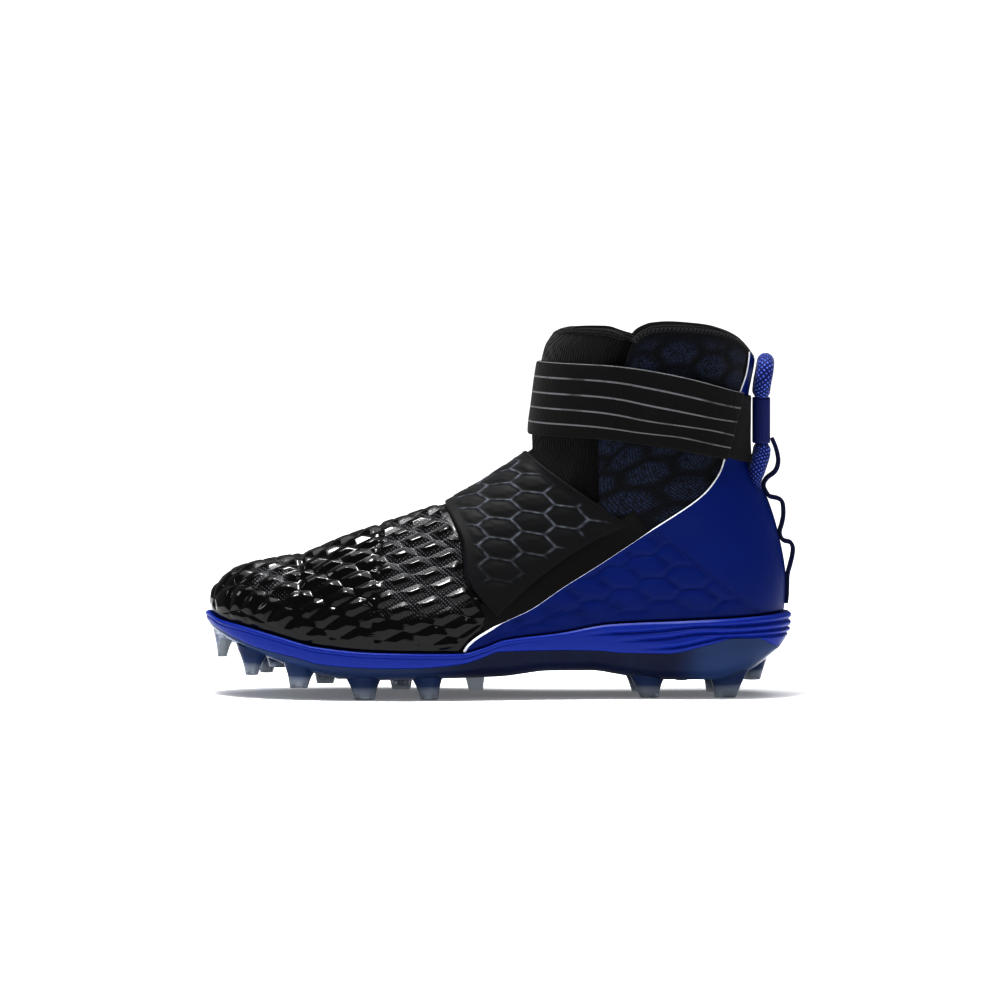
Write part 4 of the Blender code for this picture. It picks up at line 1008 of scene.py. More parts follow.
@dataclass(frozen=True)
class ScaleFilm:
    """Glossy black film melted over a dotted mesh: pure gloss low down, mesh higher up."""

    name: str = "thermoplastic_scale_film"
    film: str = "#040405"
    dots: str = "#6c6e74"
    pitch: float = 1.4      # spacing of the mesh's dots, mm; drawn coarser than the real 1 mm
    gloss: float = 0.1      # roughness of the bare film
    mesh_gloss: float = 0.38
    dot_rise: float = 0.12  # mm

    def build(self) -> bpy.types.Material:
        """Return the material."""
        material, tree, shader = start_material(self.name)
        chart = add_node(tree, "ShaderNodeUVMap", uv_map=CLOTH_UV).outputs[0]
        spread = add_node(tree, "ShaderNodeMapping", {
            "Vector": chart, "Scale": (1.0 / (self.pitch * MM), 1.0 / (self.pitch * MM), 1.0),
            "Rotation": (0.0, 0.0, math.radians(38.0)),
        }).outputs[0]
        dot = add_node(tree, "ShaderNodeTexVoronoi", {
            "Vector": spread, "Scale": 1.0, "Randomness": 0.1,
        }, voronoi_dimensions="2D").outputs["Distance"]
        dot = add_node(tree, "ShaderNodeMapRange", {
            "Value": dot, "From Min": 0.28, "From Max": 0.14,
        }).outputs[0]
        mesh_share = add_node(tree, "ShaderNodeAttribute", attribute_name=MARK).outputs["Fac"]
        shown = add_node(tree, "ShaderNodeMath", {0: dot, 1: mesh_share},
                         operation="MULTIPLY").outputs[0]
        colour = add_node(tree, "ShaderNodeMix", {
            0: shown, 6: linear(self.film), 7: linear(self.dots),
        }, data_type="RGBA").outputs[2]
        rough = add_node(tree, "ShaderNodeMapRange", {
            "Value": mesh_share, "To Min": self.gloss, "To Max": self.mesh_gloss,
        }).outputs[0]
        bump = add_node(tree, "ShaderNodeBump", {
            "Height": shown, "Strength": 0.6, "Distance": self.dot_rise * MM,
        }).outputs[0]
        feed(tree, shader, {
            "Base Color": colour, "Roughness": rough, "Normal": bump, "Specular IOR Level": 0.33,
        })
        return material


@dataclass(frozen=True)
class StripedElastic:
    """Woven elastic: fine ribs across its length and thin light stripes along it."""

    name: str = "striped_woven_elastic"
    ground: str = "#060607"
    ground_light: str = "#0d0d0f"
    stripe: str = "#747679"
    rib: float = 1.0        # spacing of the ribs, mm
    rib_rise: float = 0.16  # mm
    stripes: int = 5        # the band is divided in this many lanes by its stripes

    def build(self) -> bpy.types.Material:
        """Return the material."""
        material, tree, shader = start_material(self.name)
        chart = add_node(tree, "ShaderNodeUVMap", uv_map=CLOTH_UV).outputs[0]
        across = add_node(tree, "ShaderNodeAttribute", attribute_name=MARK).outputs["Fac"]
        share = add_node(tree, "ShaderNodeMath", {0: across, 1: float(self.stripes), 2: 0.5},
                         operation="MULTIPLY_ADD").outputs[0]
        lane = add_node(tree, "ShaderNodeMath", {0: share}, operation="FRACT").outputs[0]
        off = add_node(tree, "ShaderNodeMath", {0: lane, 1: 0.5},
                       operation="SUBTRACT").outputs[0]
        off = add_node(tree, "ShaderNodeMath", {0: off}, operation="ABSOLUTE").outputs[0]
        line = add_node(tree, "ShaderNodeMapRange", {
            "Value": off, "From Min": 0.07, "From Max": 0.045,
        }).outputs[0]
        inside = add_node(tree, "ShaderNodeMath", {0: across, 1: 0.1},
                          operation="GREATER_THAN").outputs[0]
        line = add_node(tree, "ShaderNodeMath", {0: line, 1: inside},
                        operation="MULTIPLY").outputs[0]
        place = add_node(tree, "ShaderNodeTexCoord").outputs["Object"]
        worn = add_node(tree, "ShaderNodeTexNoise", {
            "Vector": place, "Scale": 90.0, "Detail": 3.0,
        }).outputs["Fac"]
        worn = add_node(tree, "ShaderNodeMapRange", {
            "Value": worn, "From Min": 0.3, "From Max": 0.5, "To Min": 0.35, "To Max": 1.0,
        }).outputs[0]
        line = add_node(tree, "ShaderNodeMath", {0: line, 1: worn},
                        operation="MULTIPLY").outputs[0]
        ribs = add_node(tree, "ShaderNodeTexWave", {
            "Vector": chart, "Scale": 0.314 / (self.rib * MM), "Distortion": 0.4,
            "Detail": 1.0, "Detail Scale": 2.0,
        }, wave_type="BANDS", bands_direction="X", wave_profile="SIN").outputs["Fac"]
        ground = add_node(tree, "ShaderNodeMix", {
            0: ribs, 6: linear(self.ground), 7: linear(self.ground_light),
        }, data_type="RGBA").outputs[2]
        colour = add_node(tree, "ShaderNodeMix", {
            0: line, 6: ground, 7: linear(self.stripe),
        }, data_type="RGBA").outputs[2]
        height = add_node(tree, "ShaderNodeMath", {0: line, 1: 1.5, 2: ribs},
                          operation="MULTIPLY_ADD").outputs[0]
        bump = add_node(tree, "ShaderNodeBump", {
            "Height": height, "Strength": 0.7, "Distance": self.rib_rise * MM,
        }).outputs[0]
        feed(tree, shader, {
            "Base Color": colour, "Normal": bump, "Roughness": 0.72, "Specular IOR Level": 0.2,
            "Sheen Weight": 0.05,
        })
        return material


@dataclass(frozen=True)
class SmokyPlate:
    """Cast translucent nylon: smoky blue in the body, clear where it is thin at stud tips."""

    name: str = "smoky_translucent_nylon"
    deep: str = "#020c2e"
    pale: str = "#2b426c"
    clear: str = "#dfe8f2"

    def build(self) -> bpy.types.Material:
        """Return the material."""
        material, tree, shader = start_material(self.name)
        thin = add_node(tree, "ShaderNodeAttribute", attribute_name="thinness").outputs["Fac"]
        tint = add_node(tree, "ShaderNodeAttribute", attribute_name="paleness").outputs["Fac"]
        place = add_node(tree, "ShaderNodeTexCoord").outputs["Object"]
        cloud = add_node(tree, "ShaderNodeTexNoise", {
            "Vector": place, "Scale": 45.0, "Detail": 2.0,
        }).outputs["Fac"]
        pale = add_node(tree, "ShaderNodeMath", {0: cloud, 1: 0.3, 2: tint},
                        operation="MULTIPLY_ADD").outputs[0]
        pale = add_node(tree, "ShaderNodeMath", {0: pale, 1: 0.15},
                        operation="SUBTRACT", use_clamp=True).outputs[0]
        body = add_node(tree, "ShaderNodeMix", {
            0: pale, 6: linear(self.deep), 7: linear(self.pale),
        }, data_type="RGBA").outputs[2]
        colour = add_node(tree, "ShaderNodeMix", {
            0: thin, 6: body, 7: linear(self.clear),
        }, data_type="RGBA").outputs[2]
        through = add_node(tree, "ShaderNodeMapRange", {
            "Value": thin, "To Min": 0.0, "To Max": 0.92,
        }).outputs[0]
        feed(tree, shader, {
            "Base Color": colour, "Transmission Weight": through, "Roughness": 0.16,
            "IOR": 1.45, "Specular IOR Level": 0.2,
        })
        return material


@dataclass
class Finishes:
    """The finishes of the whole shoe, made once."""

    made: dict[str, bpy.types.Material] = field(default_factory=dict)

    def __getitem__(self, key: str) -> bpy.types.Material:
        """Return a finish by its short name, making it at first use."""
        if key not in self.made:
            self.made[key] = FINISHES[key].build()
        return self.made[key]


FINISHES = {
    # Spacer mesh of the cuff: dull black with navy threads, open holes about a millimetre wide
    "cuff_mesh": QuiltedMesh(),
    # Brushed tricot lining inside the shoe: dull and soft, its loops drawn coarser than real
    "lining": Cloth("tricot_lining", "#070708", "#121215", Weave.OPEN_MESH, 1.6, 0.2),
    # Ribbed knit of the tongue: fine raised lines with a painted highlight
    "rib_knit": Cloth("ribbed_knit_black", "#060607", "#232426", Weave.KNIT_RIB, 1.5, 0.4,
                      contrast=0.9),
    # Knitted tape sewn round the collar's edges
    "binding": Cloth("knit_binding_tape", "#080809", "#262729", Weave.TWILL, 1.3, 0.35,
                     contrast=0.9),
    # Coated ripstop of the instep wrap: dull satin, fine plain weave, painted highlight on its
    # net
    "wrap": Cloth("coated_wrap_cloth", "#090a0d", "#15171d", Weave.PLAIN, 0.9, 0.06,
                  roughness=0.6, sheen=0.1, line_highlight_colour="#6a6f7a"),
    # Smooth synthetic between wrap and panel: nearly black, a faint even sheen
    "band": Cloth("smooth_black_synthetic", "#040406", "#08080b", Weave.PLAIN, 0.8, 0.03,
                  roughness=0.5, sheen=0.05),
    # Coated synthetic leather of the heel: satin royal blue with a fine pore grain
    "blue_panel": Moulded("coated_synthetic_royal", "#011e64", 0.5, 0.5, 0.05,
                          edge_colour="#02226e", specular=0.14),
    # Moulded TPU piping: clean white line, slightly glossy
    "piping": Moulded("white_tpu_piping", "#eef0f2", 0.35, 0.5, 0.01),
    # Compression moulded foam of the carrier: satin, a little violet
    "carrier": Moulded("moulded_foam_violet_blue", "#082b8a", 0.42, 0.4, 0.03,
                       edge_colour="#0b2f94", specular=0.26),
    # Thermoplastic film over mesh: hard highlights on the scales, dull dotted ground between
    "scales": ScaleFilm(),
    # Woven elastic: dull, with light stripes that wear thin
    "strap": StripedElastic(),
    # Plain webbing, drawn at twice its real thread spacing: charcoal, no lustre
    "keeper": Cloth("plain_charcoal_webbing", "#0b0b0d", "#121315", Weave.PLAIN, 0.8, 0.06,
                    roughness=0.7, sheen=0.1),
    # Braided polyester cord: bright blue with pale flecks where strands cross
    "rope": Cloth("braided_polyester_cord", "#06165c", "#5c7ae0", Weave.BRAID, 1.5, 0.3,
                  roughness=0.6, sheen=0.2, contrast=1.5),
    # Heat-shrunk sleeve: smooth dark blue satin
    "sleeve": Moulded("satin_blue_sleeve", "#0a1a5e", 0.38, 0.3, 0.02),
    # Twill tape: navy diagonals, a painted highlight on each raised thread
    "tape": Cloth("navy_woven_tape", "#080d2a", "#1c2c70", Weave.TWILL, 1.0, 0.15,
                  roughness=0.75),
    # Cast nylon plate: smoky and dark in the waist, paler at heel and toe, clear at stud tips
    "plate": SmokyPlate(),
    # Bonded sewing threads: small dull rounds, a shade lighter than the cloth they hold
    "blue_thread": Cloth("blue_sewing_thread", "#0a2070", "#2848b8", Weave.PLAIN, 0.3, 0.02),
    "black_thread": Cloth("black_sewing_thread", "#151517", "#3a3b3e", Weave.PLAIN, 0.3, 0.02),
    "grey_thread": Cloth("grey_sewing_thread", "#3c3d42", "#75767c", Weave.PLAIN, 0.3, 0.02),
    # Foot bed cloth: flat charcoal, thread spacing drawn coarser than real
    "insole": Cloth("foot_bed_cloth", "#131316", "#2a2a2e", Weave.PLAIN, 1.2, 0.15),
    # Painted studio floor: matt and even
    "floor": Moulded("matt_white_floor", "#f6f6f6", 0.9, 2.0, 0.0, specular=0.0, glow=0.2),
}


# Sub-assemblies


@dataclass
class Upper:
    """The hollow upper with its quilted cuff and its collar binding."""

    wall: float = 2.6
    collar_wall: float = 4.0
    half_columns: int = 150
    slot_columns: int = 50
    quilt_length: float = 24.0
    quilt_height: float = 15.0
    quilt_depth: float = 0.5
    binding_height: float = 3.6

    def angles(self, level: Array) -> Array:
        """Return the grid's angles for a grid of levels, one column on the slot's edge."""
        count = 2 * self.half_columns
        place = np.arange(count)
        steps = np.where(place <= self.half_columns, place, place - count)
        edge = FORM.slot_angle(level)
        inside = edge * steps / self.slot_columns
        past = (np.abs(steps) - self.slot_columns) / (self.half_columns - self.slot_columns)
        outside = np.sign(steps) * blend(edge, math.pi, past)
        return np.where(np.abs(steps) <= self.slot_columns, inside, outside)

    def grid(self) -> tuple[Array, Array, int]:
        """Return the grid's angles and levels, and the row where the slot starts."""
        count = 2 * self.half_columns
        low_rows, high_rows = np.linspace(0.0, 1.0, 64), edged(60, 0.03)[1:]
        base = self.angles(np.full((1, count), THROAT_SIDE))
        throat = FORM.throat_level(base)
        low_level = throat * low_rows[:, None]
        low_angle = np.broadcast_to(base, low_level.shape)
        angle = np.broadcast_to(base, (len(high_rows), count)).copy()
        level = angle
        top_line = Curve(CUFF_TOP)
        for _ in range(3):
            top = FORM.level_at(angle, top_line)
            level = blend(np.broadcast_to(throat, angle.shape), top, high_rows[:, None])
            angle = self.angles(level)
        return (
            np.concatenate([low_angle, angle]), np.concatenate([low_level, level]),
            len(low_rows) - 1,
        )

    def build(self, finishes: Finishes) -> None:
        """Make the upper's body and the binding round the cuff's edge."""
        angle, level, throat_row = self.grid()
        rows, count = angle.shape
        share = np.clip((np.arange(rows) - throat_row) / (rows - 1 - throat_row), 0.0, 1.0)
        wall = blend(self.wall, self.collar_wall, ease(share, 0.75, 1.0))[:, None]
        place = np.arange(count)
        in_slot = (place < self.slot_columns) | (place >= count - self.slot_columns)
        missing = (np.arange(rows - 1) >= throat_row)[:, None] & in_slot[None, :]
        sheet = Sheet(angle, level, np.zeros_like(angle),
                      np.broadcast_to(-wall, angle.shape), True, missing)
        points = FORM.point(angle, level)
        place_z = points[..., 2]
        turn = np.mod(angle, 2.0 * math.pi)
        arc = travelled(points[-1])
        chart = np.stack([np.interp(turn, turn[-1], arc), place_z], axis=-1)
        side = hex_cells(chart[..., 0], chart[..., 1], self.quilt_length, self.quilt_height)
        quilt = self.quilt_depth * (ease(side, 0.0, 0.45) - 1.0)
        near_top = ease(share, 0.86, 0.93)[:, None]
        relief = quilt * (1.0 - near_top) * ease(place_z, 60.0, 75.0)
        mark = ease(side, 0.08, 0.42) * (1.0 - near_top) * ease(points[..., 0], 2.0, 14.0)
        body = sheet.build("upper_quilted_mesh", relief, mark=mark, chart=chart, inside=0.0)
        settle(body, finishes["cuff_mesh"], "black_mesh", "upper")
        self.bind(angle[-1], level[-1], finishes)

    def bind(self, angle: Array, level: Array, finishes: Finishes) -> None:
        """Sew the knitted binding over the cuff's top edge, from slot edge to slot edge."""
        order = np.arange(self.slot_columns, 2 * self.half_columns - self.slot_columns + 1)
        edge_angle, edge_level = angle[order], level[order]
        normal = FORM.normal(edge_angle, edge_level)
        path = FORM.layer(edge_angle, edge_level, np.full(len(order), -self.collar_wall / 2.0))
        path[:, 2] -= self.binding_height * 0.5
        profile = oval(self.collar_wall + 1.1, self.binding_height, 20, 0.75)
        piece = sweep("cuff_binding", path, normal, profile)
        settle(piece, finishes["binding"], "black_knit")
        seam = FORM.layer(edge_angle, edge_level, np.full(len(order), 0.6))
        seam[:, 2] -= self.binding_height * 0.45
        stitches = stitch_row("cuff_binding_stitches", seam, normal, 2.1, (1.9, 0.6, 0.6),
                              55.0)
        settle(stitches, finishes["grey_thread"], "black_knit")


@dataclass
class Tongue:
    """The padded knit tongue: flush in the throat slot, tucked behind the cuff's edges."""

    depth: float = 7.4
    thinning: float = 0.8
    underlap: float = 3.8
    underlap_top: float = 4.9
    spread: float = 1.16
    rib_depth: float = 0.35
    rib_pitch: float = 2.6
    binding_height: float = 3.4

    def build(self, finishes: Finishes) -> None:
        """Make the tongue and the binding on its top edge."""
        share = np.linspace(-1.0, 1.0, 131)[None, :]
        tucked = np.linspace(-0.07, 0.045, 14)[:, None]
        climb = np.linspace(0.0, 1.0, 90)[1:, None]
        rows = len(tucked) + len(climb)
        angle = np.broadcast_to(
            float(FORM.slot_angle(np.array([THROAT_SIDE]))[0]) * self.spread * share,
            (rows, share.shape[1]),
        ).copy()
        level = angle
        top_line = Curve(TONGUE_TOP)
        for _ in range(3):
            throat = FORM.throat_level(angle)
            top = FORM.level_at(np.abs(angle), top_line)
            level = np.concatenate([
                throat[:len(tucked)] + tucked,
                blend(throat[len(tucked):] + 0.045, top[len(tucked):], climb),
            ])
            angle = FORM.slot_angle(level) * self.spread * share
        throat = FORM.throat_level(angle)
        buried = np.maximum(
            1.0 - ease(level - throat, 0.012, 0.045), ease(np.abs(share), 0.72, 0.81)
        )
        place = np.arange(rows)[:, None] / (rows - 1)
        rim = ease(place, 0.6, 0.85)
        outer = -blend(self.underlap, self.underlap_top, rim) * buried
        inner = np.broadcast_to(-self.depth + self.thinning * rim, angle.shape)
        sheet = Sheet(angle, level, outer, inner)
        chart = sheet.chart()
        slanted = chart[..., 0] + 0.45 * chart[..., 1]
        ribs = self.rib_depth * (np.abs(np.sin(slanted * math.pi / self.rib_pitch)) - 1.0)
        piece = sheet.build("knit_tongue", ribs * (1.0 - buried))
        settle(piece, finishes["rib_knit"], "black_knit", "tongue")
        edge = np.arange(8, share.shape[1] - 8)
        middle = (outer[-1] + inner[-1])[edge] / 2.0
        thick = (outer[-1] - inner[-1])[edge]
        path = FORM.layer(angle[-1][edge], level[-1][edge], middle)
        path[:, 2] -= self.binding_height * 0.5
        normal = FORM.normal(angle[-1][edge], level[-1][edge])
        unit = oval(1.0, 1.0, 20, 0.75)
        profile = unit * np.array([float(thick.max()) + 1.0, self.binding_height])
        binding = sweep("tongue_binding", path, normal, profile,
                        scale=blend(0.62, 1.0, ease(thick, thick.min(), thick.max())))
        settle(binding, finishes["binding"], "black_knit")


@dataclass
class ForefootSkin:
    """The moulded forefoot skin: rows of raised hexagonal scales under a glossy film."""

    gap: float = 0.15
    thickness: float = 0.25
    scale_length: float = 14.6  # from scale to scale along a row, mm
    row_height: float = 7.6     # from row to row round the foot, mm
    scale_rise: float = 2.0
    squeeze: float = 0.6        # length over height at which a scale counts as even
    flank: float = 2.9          # width of a scale's sloping side, mm
    mesh_zones: tuple[tuple[float, float], ...] = ((-115.0, 9.0), (-38.0, 20.0))
    crease_places: tuple[float, ...] = (-99.8, -61.8)
    crease_depth: float = 1.0
    top_level: float = 0.54
    low_level: float = 0.003

    def centres(self) -> Array:
        """Return the scales' middles: staggered rows round the foot's cross-sections."""
        found = []
        for number, x in enumerate(np.arange(-144.2, 0.0, self.scale_length / 2.0)):
            bottom, top = float(FORM.feather(x)), float(FORM.ridge(x))
            drop = np.linspace(0.0, 1.0, 80) ** 2
            for side in (True, False):
                z = top - (top - bottom) * drop
                width = FORM.half_width(np.full(80, x), z, np.full(80, side))
                steps = np.hypot(np.diff(width), np.diff(z))
                along = np.concatenate([[0.0], np.cumsum(steps)])
                offset = (number % 2) * self.row_height
                wanted = np.arange(offset, along[-1] + self.row_height, 2.0 * self.row_height)
                if not side and offset == 0.0:
                    wanted = wanted[1:]
                y = np.interp(wanted, along, width) * (-1.0 if side else 1.0)
                over = np.clip(wanted - along[-1], 0.0, None)
                height = np.interp(wanted, along, z) - over
                found += [(x, float(FORM.middle(x)) + a, b) for a, b in zip(y, height)]
        return np.array(found)

    def girth(self, points: Array) -> Array:
        """Return the distance down from the ridge line round the foot's cross-sections."""
        stations = np.linspace(-146.0, 4.0, 76)
        drop = np.linspace(0.0, 1.0, 81)
        fall = FORM.ridge(points[..., 0]) - points[..., 2]
        depth = FORM.ridge(points[..., 0]) - FORM.feather(points[..., 0])
        down = np.sqrt(np.clip(fall / np.maximum(depth, 1.0), 0.0, 1.0)) * 80.0
        place = np.clip((points[..., 0] - stations[0]) / 2.0, 0.0, 74.999)
        column_at, row_at = place.astype(int), np.clip(down.astype(int), 0, 79)
        right, under = place - column_at, down - row_at
        found = np.zeros(points.shape[:-1])
        lateral = points[..., 1] < FORM.middle(points[..., 0])
        for side in (True, False):
            bottom, top = FORM.feather(stations)[:, None], FORM.ridge(stations)[:, None]
            z = top - (top - bottom) * drop * drop
            x = np.broadcast_to(stations[:, None], z.shape)
            width = FORM.half_width(x, z, np.full(z.shape, side))
            steps = np.hypot(np.diff(width, axis=1), np.diff(z, axis=1))
            arc = np.concatenate([np.zeros((76, 1)), np.cumsum(steps, axis=1)], axis=1)
            one = blend(arc[column_at, row_at], arc[column_at, row_at + 1], under)
            two = blend(arc[column_at + 1, row_at], arc[column_at + 1, row_at + 1], under)
            value = blend(one, two, right)
            across = np.abs(points[..., 1] - FORM.middle(points[..., 0]))
            value = np.where(across < 5.0, across, np.maximum(value, across))  # flat crest
            found = np.where(lateral == side, value if side else -value, found)
        return found

    def scales(self, points: Array) -> Array:
        """Return the scales' height from 0 to 1 at surface points."""
        squeeze = np.array([self.squeeze, 1.0, 1.0])
        centres = self.centres() * squeeze
        tree = KDTree(len(centres))
        for number, place in enumerate(centres):
            tree.insert(Vector(place), number)
        tree.balance()
        flat = (points * squeeze).reshape(-1, 3)
        near = np.array([[hit[1] for hit in tree.find_n(Vector(p), 8)] for p in flat])
        own = centres[near[:, 0]]
        side = np.full(len(flat), 99.0)
        for other in range(1, 8):
            rival = centres[near[:, other]]
            apart = np.linalg.norm(rival - own, axis=1)
            gap = (np.sum((flat - rival) ** 2, axis=1) - np.sum((flat - own) ** 2, axis=1))
            side = np.minimum(side, gap / (2.0 * apart))
        rise = np.clip(side / self.flank, 0.0, 1.0)
        reach = np.linalg.norm(flat - own, axis=1) / self.row_height
        return (0.86 * rise + 0.14 * (1.0 - reach)).reshape(points.shape[:-1])

    def build(self, finishes: Finishes) -> None:
        """Make the skin with its scales, creases and rounded edges."""
        rows, half = edged(229, 0.012), 160
        level = np.broadcast_to(
            blend(self.low_level, self.top_level, rows)[:, None], (len(rows), 2 * half + 1)
        )
        edge = FORM.angle_at(level[:, :1], Curve(SHELL_EDGE))
        across = np.linspace(-1.0, 1.0, 2 * half + 1)[None, :]
        angle = edge * across
        points = FORM.point(angle, level)
        border = border_distance(points)
        outer = self.gap + self.thickness * rounded(border, 1.2)
        inner = np.full(angle.shape, self.gap)
        fade = ease(border, 0.8, 5.0)
        over_sole = points[..., 2] - FORM.feather(points[..., 0])
        scales = self.scales(points)
        relief = self.scale_rise * scales * fade * blend(0.45, 1.0, ease(over_sole, 4.0, 30.0))
        zone = sum(bell(points[..., 0] - place, reach) for place, reach in self.mesh_zones)
        mark = ease(zone, 0.2, 0.6) * ease(over_sole, 14.0, 26.0)
        mark = np.clip(mark, 0.0, 1.0) * (1.0 - ease(scales, 0.5, 0.8))
        for place in self.crease_places:
            lean = (points[..., 2] - 50.0) * 0.06
            relief -= self.crease_depth * bell(points[..., 0] - place - lean, 1.4) * fade
        relief = np.maximum(relief, -0.15)
        sheet = Sheet(angle, level, outer, inner, inner_step=4)
        chart = np.stack([points[..., 0], self.girth(points)], axis=-1)
        piece = sheet.build("forefoot_scale_skin", relief, 89.0, mark, chart)
        settle(piece, finishes["scales"], "gloss_black_skin", "forefoot_shell")


@dataclass
class InstepWrap:
    """The cloth wrap over the instep, embossed with a net of long hexagons."""

    gap: float = 0.4
    thickness: float = 0.9
    net_length: float = 22.0
    net_height: float = 11.0
    net_lean: float = 0.12      # how much the net falls towards the heel
    line_rise: float = 0.4
    line_width: float = 0.7
    pillow: float = 0.5
    half_rows: int = 180
    columns: int = 141

    def places(self) -> tuple[Array, Array]:
        """Return the wrap's angles and levels, from its front edge to its rear edge."""
        front_x, front_z = column(WRAP_FRONT, 0, 1), column(WRAP_FRONT, 0, 2)
        rear_x, rear_z = column(WRAP_REAR, 0, 1), column(WRAP_REAR, 0, 2)
        step = np.arange(-self.half_rows, self.half_rows + 1)[None, :]
        down = (np.abs(step) / self.half_rows) ** 1.7
        share = edged(self.columns, 0.02)[:, None]
        x = blend(front_x(down), rear_x(down), share)
        z = blend(front_z(down), rear_z(down), share)
        z = z + WRAP_BULGE * 4.0 * share * (1.0 - share) * down * down
        top_x = blend(WRAP_FRONT[0][1], WRAP_REAR[0][1], share)
        top_z = blend(WRAP_FRONT[0][2], WRAP_REAR[0][2], share)
        z = z + (FORM.ridge(top_x) - top_z) * (1.0 - down) ** 6
        angle, level = FORM.locate(x, z)
        return np.where(step == 0, 0.0, angle * np.sign(step)), level

    def build(self, finishes: Finishes) -> None:
        """Make the wrap and the row of stitches along its rear edge."""
        angle, level = self.places()
        points = FORM.point(angle, level)
        border = border_distance(points)
        steps = np.hypot(np.diff(points[..., 1], axis=1), np.diff(points[..., 2], axis=1))
        down = np.concatenate([np.zeros((len(points), 1)), np.cumsum(steps, axis=1)], axis=1)
        down = np.abs(down - down[:, self.half_rows:self.half_rows + 1])
        height = points[:, self.half_rows:self.half_rows + 1, 2] - down
        side = hex_cells(points[..., 0], height + self.net_lean * points[..., 0],
                         self.net_length, self.net_height)
        away = side * self.net_height / 2.0
        fade = ease(border, 4.0, 8.0)
        broken = 0.55 + 0.45 * np.sin(points[..., 0] * 0.9 + height * 0.35) * np.sin(
            height * 0.8 - points[..., 0] * 0.27)
        relief = (self.line_rise * bell(away, self.line_width * 0.6)
                  + self.pillow * ease(away, 0.6, 4.0)) * fade
        seat = np.full(angle.shape, self.gap)
        sheet = Sheet(angle, level, seat + self.thickness * rounded(border, 1.2), seat,
                      inner_step=4)
        shown = ease(points[..., 2], 52.0, 84.0)    # the painted highlight fades towards the sole
        # Painted highlight along the net's raised lines, broken in waves, faded at borders and
        # sole
        drawn = bell(away, 0.4) * fade * shown * broken
        piece = sheet.build("instep_wrap_cloth", relief, mark=drawn)
        settle(piece, finishes["wrap"], "black_wrap_fabric", "midfoot_wrap")
        row = -6
        seam = FORM.layer(angle[row], level[row], np.full(angle.shape[1], 1.5))
        normals = FORM.normal(angle[row], level[row])
        stitches = stitch_row("instep_wrap_stitches", seam, normals, 2.4, (1.5, 0.4, 0.35))
        settle(stitches, finishes["black_thread"], "black_wrap_fabric")


